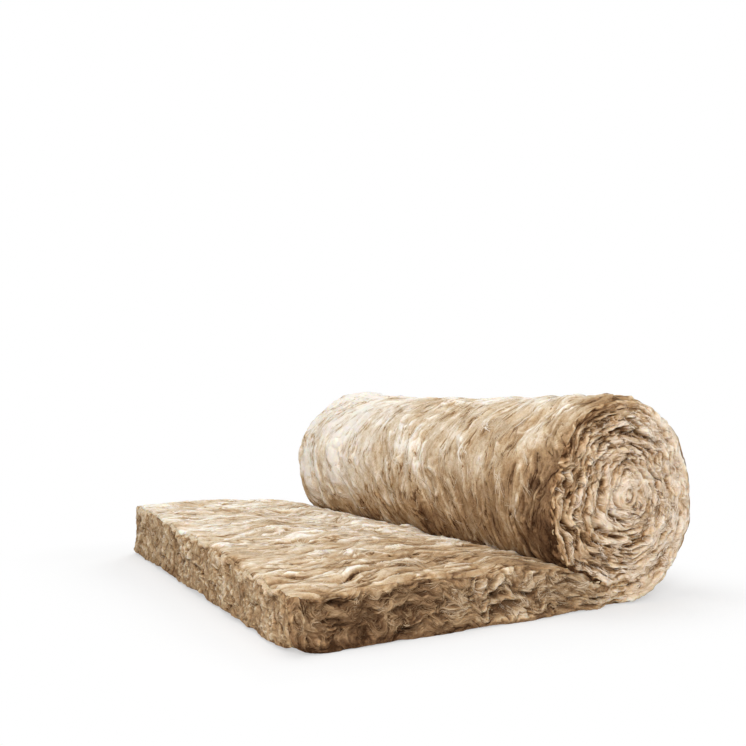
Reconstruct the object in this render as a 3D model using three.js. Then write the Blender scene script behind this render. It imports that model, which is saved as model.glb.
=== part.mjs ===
// A partly unrolled roll of glass wool insulation: one soft mat, wound into a tight spiral,
// with its outer end laid out flat on the floor.
//
// Millimetres, +Z up. X runs along the mat, with the roll at +X and the cut end at -X.
// Y runs across the mat, along the roll's axis, with the near edge at -Y. The origin is on the
// floor, under the middle of the whole piece.
//
// The mat is a loft: a straight line across its thickness, the section line, steps from the cut
// end along the floor, under the roll and round the spiral to the eye. One full turn further
// in, the inner end of a section line is the outer end of another, so the turns bear on each
// other as the real ones do, and only their rounded edges part them on the roll's two ends.
// Loose wool springs back unevenly, so the faces that nothing holds lie in soft dips, and in
// folds that run along the mat.
import * as THREE from "three";

// Driving dimensions
const matWidth = 1140; // across the mat, which is the roll's length too
const rollHeight = 440; // over all the turns of the roll
const turnThickness = 35; // one layer of the mat, squeezed in the roll
const tailLength = 785; // from under the roll's axis to the cut end, along the near edge
const cutSkew = 62; // how much shorter the tail is along the far edge, cut by hand
const nearThickness = 114; // the mat's free thickness at the near edge
const farThickness = 146; // and at the far edge, where it has sprung back further
const regainedAtNip = 0.42; // share of its lost thickness that the mat has back as it leaves the roll
const edgeRounding = 14; // how far the mat's long edges are rounded over
const leastCore = 14; // radius of the folded inner end that fills the eye, at the least

// How the wool gives
const dipDepth = 10; // from the full face to the bottom of the deepest dip
const dipWaves = [
  { spacing: 260, heading: 0.3, phase: 0.5 },
  { spacing: 210, heading: 1.4, phase: 2.1 },
  { spacing: 320, heading: 2.5, phase: 4.0 },
];
const foldDepth = 9; // from the crest of a fold to the trough beside it
const foldSpacing = 104; // from one fold to the next, across the mat
const foldBends = [
  { length: 620, reach: 45, phase: 0.8 },
  { length: 270, reach: 18, phase: 2.0 },
];
const foldCrowding = 22; // how far folds are pushed together here and there
const rolledShare = 0.6; // of the folds' depth that is left where the mat is rolled up
const reliefFade = 150; // the tail's dips and folds die out over this length before the nip
const edgeShare = 0.4; // share of the dips' depth that the long edges are drawn in by
const rollSag = 4; // of the roll's top, about halfway between its ends
const nearSlump = 6; // of the upper part of the roll's near end, on the side away from the tail

// How finely the curves are stepped
const stepsPerTurn = 44;
const nipSteps = 5;
const tailSteps = 12;
const columns = 42; // across the mat
const roundingSteps = 2;
const domeRings = 2;

const fullTurn = 2 * Math.PI;
const axisHeight = (rollHeight + turnThickness / 2) / 2; // the spiral is half a layer lower on top
const rounding = Math.min(edgeRounding, turnThickness / 2);
const profileSteps = 2 * roundingSteps + 1;

// The roll bears on the tail from its lowest line up to the nip, where it lets the tail go.
const nipHeight = THREE.MathUtils.lerp(
  turnThickness,
  Math.min(nearThickness, farThickness),
  regainedAtNip,
);
const nipAngle = Math.acos((axisHeight - nipHeight) / (axisHeight - turnThickness));
const nipStation = tailSteps;
const floorStation = nipStation + nipSteps; // where the mat leaves the floor, under the axis

// The angle of a station of the winding, from the roll's lowest line up its +X side. Every turn
// is stepped alike, and the last steps of a turn are the stretch that bears on the tail.
function windingAngle(station) {
  const step = station - floorStation;
  const turn = Math.floor(step / stepsPerTurn);
  const inTurn = step - turn * stepsPerTurn;
  const openSteps = stepsPerTurn - nipSteps;
  const openAngle = fullTurn - nipAngle;
  const angle =
    inTurn <= openSteps
      ? (openAngle * inTurn) / openSteps
      : openAngle + (nipAngle * (inTurn - openSteps)) / nipSteps;
  return turn * fullTurn + angle;
}

const windingRadius = (angle) => axisHeight - (turnThickness * angle) / fullTurn;
const acrossShare = (y) => y / matWidth + 0.5; // 0 at the near edge, 1 at the far edge
const bell = (x, middle, reach) => Math.exp(-(((x - middle) / reach) ** 2));
const { smoothstep } = THREE.MathUtils;

// How far the wool lies below its full face at a place on it. Three long waves cross, and the
// full face is where all of them have their crest.
function dip(a, b) {
  let waves = 0;
  for (const { spacing, heading, phase } of dipWaves) {
    const along = a * Math.cos(heading) + b * Math.sin(heading);
    waves += Math.sin((fullTurn * along) / spacing + phase);
  }
  return (dipDepth * (dipWaves.length - waves)) / (2 * dipWaves.length);
}

// How far the wool lies below the crests of its folds. They run along the mat in bends, and
// fade in and out along their length.
function trough(a, b) {
  let across = b + foldCrowding * Math.sin((fullTurn * b) / (4 * foldSpacing));
  for (const { length, reach, phase } of foldBends) {
    across += reach * Math.sin((fullTurn * a) / length + phase);
  }
  const crest = Math.sin((fullTurn * across) / foldSpacing);
  const strength = 0.65 + 0.35 * Math.sin((fullTurn * (a + 0.7 * b)) / (4 * foldSpacing));
  return (foldDepth * strength * (1 - crest)) / 2;
}

// How far the outside of the roll has sunk in, except where it bears on the floor or the tail
function sunkIn(windingAngle, y) {
  const angle = windingAngle % fullTurn;
  const share = acrossShare(y);
  const sagging = rollSag * bell(share, 0.55, 0.22) * bell(angle, 3.3, 0.7);
  const slumped = nearSlump * bell(angle, 2.2, 0.6) * (1 - smoothstep(share, 0.1, 0.6));
  const lift = smoothstep(angle, 0.1, 0.9);
  const lean = smoothstep(angle, fullTurn - nipAngle - 0.9, fullTurn - nipAngle - 0.1);
  const around = (rollHeight / 2) * angle;
  const loose = dip(around, y) + rolledShare * trough(around, y);
  return (sagging + slumped + loose) * lift * (1 - lean);
}

// A point of the roll at a given radius. Inner turns sink in less than the outer one.
function rollPoint(angle, fullRadius, y) {
  const radius = fullRadius * (1 - sunkIn(angle, y) / (rollHeight / 2));
  return new THREE.Vector2(radius * Math.sin(angle), axisHeight - radius * Math.cos(angle));
}

function windingPoint(station, y) {
  const angle = windingAngle(station);
  return rollPoint(angle, windingRadius(angle), y);
}

// The last station is the last one that leaves room for the folded end in the eye.
function findLastStation() {
  let station = floorStation + stepsPerTurn;
  while (windingRadius(windingAngle(station + 1)) >= leastCore) station += 1;
  return station;
}

const lastStation = findLastStation();
const coreRadius = windingRadius(windingAngle(lastStation));
const nipPoint = windingPoint(nipStation + stepsPerTurn, 0);
const belowNip = windingPoint(nipStation + stepsPerTurn + 1, 0);
const nipSlope = (nipPoint.y - belowNip.y) / (belowNip.x - nipPoint.x);

const cutEnd = (y) => -tailLength + cutSkew * acrossShare(y);
const freeThickness = (y) => THREE.MathUtils.lerp(nearThickness, farThickness, acrossShare(y));

// The tail's upper side: it leaves the nip along the roll's own slope, and the mat then springs
// back towards its free thickness, ever more slowly.
function tailTop(x, y) {
  const free = freeThickness(y);
  const missing = free - nipPoint.y;
  const full = free - missing * Math.exp((-nipSlope * (nipPoint.x - x)) / missing);
  const loose = dip(x + tailLength, y) + trough(x + tailLength, y);
  return full - loose * (1 - smoothstep(x, nipPoint.x - reliefFade, nipPoint.x));
}

// The X of a station on the tail, with finer steps nearer the roll
function tailX(station, y) {
  const share = (1 - station / tailSteps) ** 1.4;
  return THREE.MathUtils.lerp(nipPoint.x, cutEnd(y), share);
}

// The section line of a station at a given Y, from the mat's lower or outer side to its upper
// or inner one, as X and Z.
function sectionLine(station, y) {
  if (station < nipStation) {
    const x = tailX(station, y);
    return [new THREE.Vector2(x, 0), new THREE.Vector2(x, tailTop(x, y))];
  }
  if (station < floorStation) {
    const inner = windingPoint(station + stepsPerTurn, y);
    return [new THREE.Vector2(inner.x, 0), inner];
  }
  const angle = windingAngle(station);
  const innerRadius = Math.max(windingRadius(angle) - turnThickness, coreRadius);
  return [windingPoint(station, y), rollPoint(angle, innerRadius, y)];
}

// The mat is drawn together across its width, so that its long edges get their dips.
function drawnIn(x, y, z) {
  const share = y / (matWidth / 2);
  return new THREE.Vector3(x, y - share * edgeShare * dip(x + tailLength, z), z);
}

// A step of the edge's profile, which goes from the section line's outer end, over the
// rounding, across the flat of the edge and over the other rounding to the inner end: how far
// along the section line the step lies, and how far it stands out.
function profile(step, thickness) {
  const run = Math.min(rounding, thickness / 2);
  const fromEnd = Math.min(step, profileSteps - step);
  const angle = (Math.PI / 2) * (fromEnd / roundingSteps);
  const depth = run * (1 - Math.cos(angle));
  const along = (step <= roundingSteps ? depth : thickness - depth) / Math.max(thickness, 1e-9);
  return { along, reach: run * Math.sin(angle) };
}

function pointAlong(station, along, y) {
  const [outer, inner] = sectionLine(station, y);
  const at = outer.lerp(inner, along);
  return drawnIn(at.x, y, at.y);
}

const grooveY = matWidth / 2 - rounding; // where the rounded edges begin

function edgePoint(station, step, side) {
  const [outer, inner] = sectionLine(station, side * grooveY);
  const { along, reach } = profile(step, outer.distanceTo(inner));
  return pointAlong(station, along, side * (grooveY + reach));
}

// A point between the two edges, in one of the columns across the mat
function facePoint(station, step, column) {
  const y = THREE.MathUtils.lerp(-grooveY, grooveY, column / columns);
  const [outer, inner] = sectionLine(station, y);
  return pointAlong(station, profile(step, outer.distanceTo(inner)).along, y);
}

// Every vertex is made once, so that neighbouring faces share it and the mesh is closed.
const points = [];
const indexOf = new Map();

function vertex(key, make) {
  if (!indexOf.has(key)) {
    indexOf.set(key, points.length);
    points.push(make());
  }
  return indexOf.get(key);
}

function edgeVertex(station, step, side) {
  if (station === lastStation) return coreVertex(0, 0, side);
  if (step === profileSteps && station >= nipStation) {
    const nextTurn = station + stepsPerTurn;
    if (nextTurn > lastStation) return coreVertex(nextTurn - lastStation, 0, side);
    return edgeVertex(nextTurn, 0, side);
  }
  return vertex(`edge ${station} ${step} ${side}`, () => edgePoint(station, step, side));
}

// The folded inner end shows in each end of the roll as a low dome, in rings of one turn's
// stations. The innermost ring is a single point.
function coreVertex(step, ring, side) {
  const inTurn = ring === domeRings ? 0 : step % stepsPerTurn;
  return vertex(`core ${inTurn} ${ring} ${side}`, () => {
    const angle = windingAngle(lastStation - stepsPerTurn + inTurn);
    const lift = (Math.PI / 2) * (ring / domeRings);
    const radius = ring === domeRings ? 0 : coreRadius * Math.cos(lift);
    const y = side * (grooveY + Math.min(rounding, coreRadius) * Math.sin(lift));
    const at = rollPoint(angle, radius, side * grooveY);
    return drawnIn(at.x, y, at.y);
  });
}

const triangles = [];

// Two triangles facing one way, or one where two corners are the same vertex.
function addQuad(a, b, c, d, flipped = false) {
  for (const corners of [[a, b, c], [a, c, d]]) {
    if (new Set(corners).size < 3) continue;
    triangles.push(...(flipped ? corners.reverse() : corners));
  }
}

const near = -1;
const far = 1;

// A vertex of the faces between the edges. The first and the last column are the edges' own.
function faceVertex(station, step, column) {
  if (column === 0) return edgeVertex(station, step, near);
  if (column === columns) return edgeVertex(station, step, far);
  if (step === profileSteps && station >= nipStation) {
    return faceVertex(station + stepsPerTurn, 0, column);
  }
  const key = `face ${station} ${step} ${column}`;
  return vertex(key, () => facePoint(station, step, column));
}

// The roll's end and the tail's edge, as one spiral strip, with the dome in its eye
function addEdgeFace(side) {
  const flipped = side === far;
  for (let station = 0; station < lastStation; station += 1) {
    for (let step = 0; step < profileSteps; step += 1) {
      addQuad(
        edgeVertex(station, step, side),
        edgeVertex(station + 1, step, side),
        edgeVertex(station + 1, step + 1, side),
        edgeVertex(station, step + 1, side),
        flipped,
      );
    }
  }
  for (let ring = 0; ring < domeRings; ring += 1) {
    for (let step = 0; step < stepsPerTurn; step += 1) {
      addQuad(
        coreVertex(step, ring, side),
        coreVertex(step + 1, ring, side),
        coreVertex(step + 1, ring + 1, side),
        coreVertex(step, ring + 1, side),
        flipped,
      );
    }
  }
}

// The mat's lower side: along the floor and round the outside of the roll, back to the tail
function addOuterFace() {
  for (let station = 0; station < nipStation + stepsPerTurn; station += 1) {
    for (let column = 0; column < columns; column += 1) {
      addQuad(
        faceVertex(station, 0, column),
        faceVertex(station, 0, column + 1),
        faceVertex(station + 1, 0, column + 1),
        faceVertex(station + 1, 0, column),
      );
    }
  }
}

// The tail's upper side, from the cut end to the roll
function addTailTop() {
  for (let station = 0; station < nipStation; station += 1) {
    for (let column = 0; column < columns; column += 1) {
      addQuad(
        faceVertex(station, profileSteps, column),
        faceVertex(station + 1, profileSteps, column),
        faceVertex(station + 1, profileSteps, column + 1),
        faceVertex(station, profileSteps, column + 1),
      );
    }
  }
}

// The flat cut end, between the near and far edge profiles
function addCutEnd() {
  for (let step = 0; step < profileSteps; step += 1) {
    for (let column = 0; column < columns; column += 1) {
      addQuad(
        faceVertex(0, step, column),
        faceVertex(0, step + 1, column),
        faceVertex(0, step + 1, column + 1),
        faceVertex(0, step, column + 1),
      );
    }
  }
}

function makeMatGeometry() {
  addEdgeFace(near);
  addEdgeFace(far);
  addOuterFace();
  addTailTop();
  addCutEnd();
  const geometry = new THREE.BufferGeometry().setFromPoints(points);
  geometry.setIndex(triangles);
  geometry.computeVertexNormals();
  geometry.computeBoundingBox();
  return geometry;
}

const glassWool = new THREE.MeshStandardMaterial({
  color: new THREE.Color(0.62, 0.5, 0.36),
  roughness: 1,
  metalness: 0,
});

const glassWoolMat = new THREE.Mesh(makeMatGeometry(), glassWool);
glassWoolMat.name = "glass_wool_mat";
const { min, max } = glassWoolMat.geometry.boundingBox;
glassWoolMat.position.x = -(min.x + max.x) / 2;

const insulationRoll = new THREE.Group();
insulationRoll.add(glassWoolMat);

export default insulationRoll;
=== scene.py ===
# %% [markdown]
# # A partly unrolled roll of glass wool
#
# The object is one soft mat of glass wool. It is wound into a spiral roll, and its outer end
# lies flat on the floor. The CAD solid has its true size and the spiral, but it is smooth.
# This lesson dresses it in wool: long combed tufts on the faces that were rolled, short
# chopped fibre where a knife went through, and loose fibres over everything.
#
# Such relief could be sculpted by hand, or grown with a hair system. Here numpy works out
# every height instead: each size then has a name, every run gives the same wool, and the
# result is plain mesh.

# %% Load the frame
import math

import bpy
import numpy as np
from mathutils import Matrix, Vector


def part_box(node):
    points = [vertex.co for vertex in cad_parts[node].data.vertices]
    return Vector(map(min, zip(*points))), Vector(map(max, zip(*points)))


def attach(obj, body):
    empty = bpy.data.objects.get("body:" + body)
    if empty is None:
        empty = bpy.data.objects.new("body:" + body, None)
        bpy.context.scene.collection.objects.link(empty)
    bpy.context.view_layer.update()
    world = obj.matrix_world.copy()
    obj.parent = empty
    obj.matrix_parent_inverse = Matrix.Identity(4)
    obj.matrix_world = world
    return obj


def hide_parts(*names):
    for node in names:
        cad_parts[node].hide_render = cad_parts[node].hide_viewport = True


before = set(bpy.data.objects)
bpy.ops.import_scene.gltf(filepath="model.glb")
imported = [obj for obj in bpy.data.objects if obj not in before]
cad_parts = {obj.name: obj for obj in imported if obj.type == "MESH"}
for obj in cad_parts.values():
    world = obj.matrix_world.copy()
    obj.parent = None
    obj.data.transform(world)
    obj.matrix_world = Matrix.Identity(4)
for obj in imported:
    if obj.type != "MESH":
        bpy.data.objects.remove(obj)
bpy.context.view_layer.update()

# %% [markdown]
# ## The sizes of the mat
#
# The solid's box gives the width and where the cut end is. A layer of the mat is 35 mm thick
# where the roll squeezes it, and the rest follows from the way a roll is wound: its outline
# is a spiral, which loses one layer of radius in each turn. Lengths are in metres and angles
# in radians. An angle on the winding is 0 on the roll's lowest line, 1.6 on its right, 3.1 on
# top, and 4.7 on its left, where it faces the tail.

# %% Sizes of the roll
MAT = "glass_wool_mat"
(CUT_X, NEAR_Y, FLOOR_Z), (RIGHT_X, FAR_Y, _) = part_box(MAT)
WIDTH = FAR_Y - NEAR_Y
ROLL_RADIUS = 0.220
TURN = 0.035
LAID_OUT = 0.785  # from the cut end to under the roll's axis, along the near edge
AXIS_X = CUT_X + LAID_OUT
AXIS_Z = ROLL_RADIUS + TURN / 4
FULL_CIRCLE = 2 * math.pi
print(f"width {WIDTH:.3f}, axis at x {AXIS_X:.3f}, z {AXIS_Z:.3f}")

# %% [markdown]
# The laid-out end is called the tail here. It is cut a little out of square, and it is
# thicker along its far edge. The nip is the line where the roll lets the tail go: the tail is
# still pressed flat there, and it springs back to its free thickness as it comes away.

# %% Sizes of the tail
CUT_SKEW = 0.062
NEAR_THICKNESS = 0.114
FAR_THICKNESS = 0.146
NIP_HEIGHT = 0.068
NIP_ANGLE = math.acos((AXIS_Z - NIP_HEIGHT) / (AXIS_Z - TURN))
NIP_X = AXIS_X - (AXIS_Z - TURN) * math.sin(NIP_ANGLE)
NIP_TURN = FULL_CIRCLE - NIP_ANGLE
NIP_SLOPE = 0.66
print(f"nip at x {NIP_X:.3f}, at {NIP_TURN:.2f} on the winding")

# %% [markdown]
# ## Soft random values
#
# Wool is irregular at every scale, so most of what follows is steered by smooth noise.
# Blender has noise functions of its own, but they take one point at a time, and there are
# millions. A lattice of random numbers, blended with an S-curve, is enough, and numpy does a
# whole map at once. Every noise has a seed, so it comes out the same in every run.

# %% Noise
LATTICE_NODES = {2: 128, 3: 40}  # along each side of a flat lattice, and of one in space


def ease(t):
    return t * t * (3 - 2 * t)


def step_up(x, start, end):
    """0 up to start, 1 from end on, and an S-curve between them"""
    return ease(np.clip((x - start) / (end - start), 0, 1))


def lattice_noise(coordinates, seed):
    """Smooth values from -1 to 1, from a random lattice with one node at each whole number"""
    nodes = LATTICE_NODES[len(coordinates)]
    lattice = np.random.default_rng(seed).uniform(-1, 1, (nodes,) * len(coordinates))
    cells = [np.floor(place).astype(int) for place in coordinates]
    shares = [ease(place - cell) for place, cell in zip(coordinates, cells)]
    total = 0
    for corner in range(2 ** len(coordinates)):
        index, weight = [], 1
        for axis, (cell, share) in enumerate(zip(cells, shares)):
            upper = corner >> axis & 1
            index.append((cell + upper) % nodes)
            weight = weight * (share if upper else 1 - share)
        total = total + weight * lattice[tuple(index)]
    return total


def wander(u, v, *bends):
    """A sum of soft noises, each given by its size, its reach and its seed"""
    return sum(reach * lattice_noise((u / size, v / size), seed) for size, reach, seed in bends)


print("a noise 3 wide at 0 to 3:", np.round(wander(np.arange(4.0), np.zeros(4), (3, 1, 0)), 2))

# %% [markdown]
# ## A map of wool
#
# The fibres of a mat lie in flowing lines, as hair does. They could be drawn one by one, but
# there are far too many. So each face gets a map, laid out flat in metres, and on it a
# grain: a height field whose contour lines are the lines the fibres follow. Noise that is
# squeezed across the grain and drawn out along it then gives locks of wool that bend and
# part as the grain does. The map also keeps the wool's height, its tone, which is how pale
# it is, and its warmth, which is how red it is.

# %% The fleece map
LOCK_BEND_SEED = 500  # added to a lock's seed for the noise that bends it


class Fleece:
    """The wool of one face. u and v are the map's directions, and pixel its mesh width."""

    def __init__(self, u_range, v_range, pixel, grain):
        self.u_range, self.v_range, self.pixel = u_range, v_range, pixel
        self.u = np.arange(u_range[0], u_range[1] + pixel, pixel)
        self.v = np.arange(v_range[0], v_range[1] + pixel, pixel)
        lines = grain(*self.grid())
        slope_u, slope_v = np.gradient(lines, pixel)
        steep = np.hypot(slope_u, slope_v) + 1e-6
        self.layers = {
            "grain": lines,
            "run_u": slope_v / steep,
            "run_v": -slope_u / steep,
            "height": np.zeros(lines.shape),
            "tone": np.zeros(lines.shape),
            "warmth": np.zeros(lines.shape),
        }

    def grid(self):
        return np.meshgrid(self.u, self.v, indexing="ij")

    def locks(self, breadth, stretch, seed):
        """Noise along the grain, breadth wide and stretch times as long, from -1 to 1"""
        u, v = self.grid()
        length = breadth * stretch
        bend = wander(u, v, (3 * breadth, 0.5 * breadth, seed + LOCK_BEND_SEED))
        lines = self.layers["grain"] + bend
        return lattice_noise((u / length, v / length, lines / breadth), seed)

    def sample(self, name, u, v):
        """A layer's value at points of the map, blended between its pixels"""
        layer = self.layers[name]
        i = np.clip((u - self.u[0]) / self.pixel, 0, len(self.u) - 1.001)
        j = np.clip((v - self.v[0]) / self.pixel, 0, len(self.v) - 1.001)
        i0, j0 = i.astype(int), j.astype(int)
        s, t = i - i0, j - j0
        low = layer[i0, j0] * (1 - s) + layer[i0 + 1, j0] * s
        high = layer[i0, j0 + 1] * (1 - s) + layer[i0 + 1, j0 + 1] * s
        return low * (1 - t) + high * t


# %% [markdown]
# Cotton-like wool is round where it swells and sharp where two swellings meet. Blender's
# sculpting brushes make such puffs one at a time. The absolute value of a noise has just
# that shape everywhere: rounded tops, and a crease wherever it crosses zero. Big puffs with
# smaller ones on them make the fluff.

# %% Puffs
PUFF_FULL = 0.5  # the noise at which a puff has its whole height
PUFF_ROUNDNESS = 0.6
PUFF_MEAN = 0.6


def fluff(fleece, seed, *levels):
    """Adds puffs along the grain. Each level is a breadth, a stretch and a height."""
    for k, (breadth, stretch, height) in enumerate(levels):
        noise = np.abs(fleece.locks(breadth, stretch, seed + k))
        puffs = np.minimum(noise / PUFF_FULL, 1) ** PUFF_ROUNDNESS
        fleece.layers["height"] += height * (puffs - PUFF_MEAN)


# %% [markdown]
# Two things break the even puffs up. Sheets are thin layers of fibre that lie over the rest:
# they start level with it and stand free at their other end. Slits are places where the wool
# was pulled apart. Both could be modelled as pieces of their own, but on the map each is a
# lens: a long patch that follows the grain and has frayed ends.

# %% Lenses in the grain
FRAY = 0.45
FRAY_STRANDS = (0.006, 6)  # the breadth and the stretch of the strands at a frayed end
LENS_REACH = 1.3  # in half lengths, because frayed ends stick out
LENS_SPREAD = 2.5  # in half breadths, past which the same grain belongs to other wool


def frayed_strands(fleece, seed):
    return FRAY * fleece.locks(*FRAY_STRANDS, seed)


def lens(fleece, i, j, half, wide, fray):
    """The part of the map around pixel i, j that a lens along the grain covers, how far along
    the lens each pixel lies, from -1 to 1, and its body, 0 at the outline and 1 inside"""
    layers, reach = fleece.layers, int(LENS_REACH * half / fleece.pixel)
    window = (slice(max(i - reach, 0), i + reach + 1), slice(max(j - reach, 0), j + reach + 1))
    du = fleece.u[window[0], None] - fleece.u[i]
    dv = fleece.v[None, window[1]] - fleece.v[j]
    run_u, run_v = layers["run_u"][i, j], layers["run_v"][i, j]
    along = (du * run_u + dv * run_v) / half + fray[window]
    across = (layers["grain"][window] - layers["grain"][i, j]) / wide + 0.5 * fray[window]
    beside = np.abs(dv * run_u - du * run_v) < LENS_SPREAD * wide
    body = np.clip(1 - along**2, 0, 1) * np.clip(1 - across**2, 0, 1) * beside
    return window, along, body


def random_pixels(fleece, rng, count):
    rows, columns = fleece.layers["grain"].shape
    return zip(rng.integers(0, rows, count), rng.integers(0, columns, count))


def pixels_at(fleece, u, v):
    i, j = (u - fleece.u[0]) / fleece.pixel, (v - fleece.v[0]) / fleece.pixel
    i = np.clip(i, 0, len(fleece.u) - 1).astype(int)
    return zip(i, np.clip(j, 0, len(fleece.v) - 1).astype(int))


# %% Sheets and slits
def lay_sheets(fleece, seed, count, length, breadth, lift, shade, places=None):
    """Lays sheets with sizes from these ranges, paler than the wool below by up to shade. They
    lie at the places, or else anywhere, as many as count says."""
    rng = np.random.default_rng(seed)
    fray = frayed_strands(fleece, seed)
    for i, j in places or random_pixels(fleece, rng, count):
        half, wide, rise = rng.uniform(*length) / 2, rng.uniform(*breadth) / 2, rng.uniform(*lift)
        window, along, body = lens(fleece, i, j, half, wide, fray)
        free = np.clip(0.5 + 0.5 * along * rng.choice([-1, 1]), 0, 1)
        cover = step_up(body, 0.0, 0.25) * free
        fleece.layers["height"][window] += rise * cover
        fleece.layers["tone"][window] += rng.uniform(-0.3, 1) * shade * cover


def cut_slits(fleece, seed, places, length, breadth, depth):
    """Opens a slit at each of the places, with sizes from these ranges"""
    rng = np.random.default_rng(seed)
    fray = frayed_strands(fleece, seed)
    for i, j in places:
        half, wide, deep = rng.uniform(*length) / 2, rng.uniform(*breadth) / 2, rng.uniform(*depth)
        window, _, body = lens(fleece, i, j, half, wide, fray)
        fleece.layers["height"][window] -= deep * ease(np.sqrt(body))


# %% [markdown]
# Wrinkles are thin ridges, where a few strands have slipped together, with a painted highlight
# along each. A ridge runs wherever a noise along the grain crosses zero, and a second noise
# lets it fade in and out.

# %% Wrinkles
RIDGE_BREADTH = 0.13  # how far from zero the noise may be on a ridge


def wrinkle(fleece, seed, breadth, stretch, height, shade):
    """Raises thin ridges that run along the grain and fade in and out, with a painted highlight"""
    shown = step_up(fleece.locks(2 * breadth, stretch, seed + 1), -0.1, 0.4)
    crossing = np.abs(fleece.locks(breadth, stretch, seed)) / RIDGE_BREADTH
    ridge = np.clip(1 - crossing, 0, 1) * shown
    fleece.layers["height"] += height * ridge
    # the ridge's tone is raised: a painted highlight along it
    fleece.layers["tone"] += shade * ridge


# %% [markdown]
# Fibres that stand proud catch the light, and deep wool lies in shade and looks brown. Ambient
# occlusion would show some of that, but only in a render. So it is painted: the map's heights
# are compared with softened copies of themselves, and the difference goes into the tone, a
# painted highlight on proud wool and painted shade in deep wool. The softening works on the
# map's spectrum, which costs the same for any width.

# %% Contrast and lumps
DEPTH_SCALES = ((0.006, 0.012), (0.020, 0.022))  # softened over this, full contrast at that


def blurred(layer, pixels):
    """A layer softened over about that many pixels"""
    edge = int(3 * pixels) + 1
    padded = np.pad(layer, edge, mode="reflect")
    fu, fv = np.fft.fftfreq(padded.shape[0]), np.fft.rfftfreq(padded.shape[1])
    keep = np.exp(-2 * (np.pi * pixels) ** 2 * (fu[:, None] ** 2 + fv[None, :] ** 2))
    soft = np.fft.irfft2(np.fft.rfft2(padded) * keep, padded.shape)
    return soft[edge:-edge, edge:-edge]


def finish_fleece(fleece, contrast, lumps, level=75):
    """Paints proud wool paler and deep wool browner, by contrast, as light and shade, then adds
    broad lumps. level percent of the wool stays below the face of the CAD solid."""
    height, pixel = fleece.layers["height"], fleece.pixel
    proud = sum((height - blurred(height, blur / pixel)) / full for blur, full in DEPTH_SCALES)
    # a painted highlight on proud wool and painted shade in deep wool
    fleece.layers["tone"] += contrast * np.clip(proud, -0.5, 0.5)
    height = height - np.percentile(height, level)
    fleece.layers["height"] = height + wander(*fleece.grid(), *lumps)


# %% [markdown]
# ## The form of each face
#
# A flat map has to be laid on a bent mat. A shrinkwrap modifier could press a grid onto the
# solid, but it would smear the map at the edges. So each face is a function, from its flat
# map to a place on the mat and the direction that points out of it. Faces meet in soft
# rounded edges: close to an edge, a face turns over on a quarter circle, and so does its
# neighbour. Each goes a little past the diagonal, and sinks in below the other there. A form
# also tells how far a point is from such a seam.

# %% Rounded edges
ROUNDING = 0.016
SEAM_ANGLE = math.radians(60)  # how far round the edge a face reaches
HALFWAY = ROUNDING * (1 - math.sin(SEAM_ANGLE))
FAR_AWAY = 1.0  # stands for the distance from an edge that doesn't concern a point


def vectors(x, y, z):
    return np.stack(np.broadcast_arrays(x, y, z), axis=-1).astype(float)


def unit(v):
    return v / np.linalg.norm(v, axis=-1, keepdims=True)


def turn_over(points, normals, edge_distance, towards):
    """Bends a face over an edge that lies edge_distance away, towards a direction"""
    sine = np.clip(1 - edge_distance / ROUNDING, 0, 1)[:, None]
    cosine = np.sqrt(1 - sine**2)
    moved = points - normals * ROUNDING * (1 - cosine)
    return moved, normals * cosine + np.asarray(towards) * sine


def turned_over(points, normals, *edges):
    """Bends a face over each of its edges, and adds the distance to the closest of them"""
    for distance, towards in edges:
        points, normals = turn_over(points, normals, distance, towards)
    return points, normals, np.min([distance for distance, _ in edges], axis=0)


print(f"edges rounded by {ROUNDING}, faces end {HALFWAY:.4f} inside them")

# %% [markdown]
# No face of soft wool lies flat. Long dips cross it, and folds run along the mat in bends,
# where it gave way as it was wound. The CAD solid has both, so the same sums are worked out
# here, and the wool lies on the solid.

# %% Dips and folds
DIP_DEPTH = 0.010
DIP_WAVES = ((0.26, 0.3, 0.5), (0.21, 1.4, 2.1), (0.32, 2.5, 4.0))  # spacing, heading, phase
FOLD_DEPTH = 0.009
FOLD_SPACING = 0.104
FOLD_GROUP = 4 * FOLD_SPACING  # over which the folds crowd, and grow fainter
FOLD_BENDS = ((0.62, 0.045, 0.8), (0.27, 0.018, 2.0))  # length, reach, phase
FOLD_CROWDING = 0.022
FOLD_FAINTNESS = 0.35


def across_share(y):
    """0 at the near edge of the mat, 1 at the far one"""
    return (y - NEAR_Y) / WIDTH


def bell(x, middle, reach):
    return np.exp(-(((x - middle) / reach) ** 2))


def wave(place, length, phase=0.0):
    return np.sin(FULL_CIRCLE * place / length + phase)


def dip(a, b):
    """How far the wool lies below its full face: three long waves that cross"""
    waves = sum(
        wave(a * math.cos(heading) + b * math.sin(heading), spacing, phase)
        for spacing, heading, phase in DIP_WAVES
    )
    return DIP_DEPTH * (len(DIP_WAVES) - waves) / (2 * len(DIP_WAVES))


def trough(a, b):
    """How far the wool lies below the crests of its folds"""
    across = b + FOLD_CROWDING * wave(b, FOLD_GROUP)
    across = across + sum(reach * wave(a, length, phase) for length, reach, phase in FOLD_BENDS)
    strength = 1 - FOLD_FAINTNESS + FOLD_FAINTNESS * wave(a + 0.7 * b, FOLD_GROUP)
    return FOLD_DEPTH * strength * (1 - wave(across, FOLD_SPACING)) / 2


# %% The height of the tail
RELIEF_FADE = 0.15  # the roll presses the relief flat over this length


def cut_x(y):
    return CUT_X + CUT_SKEW * across_share(y)


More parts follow.
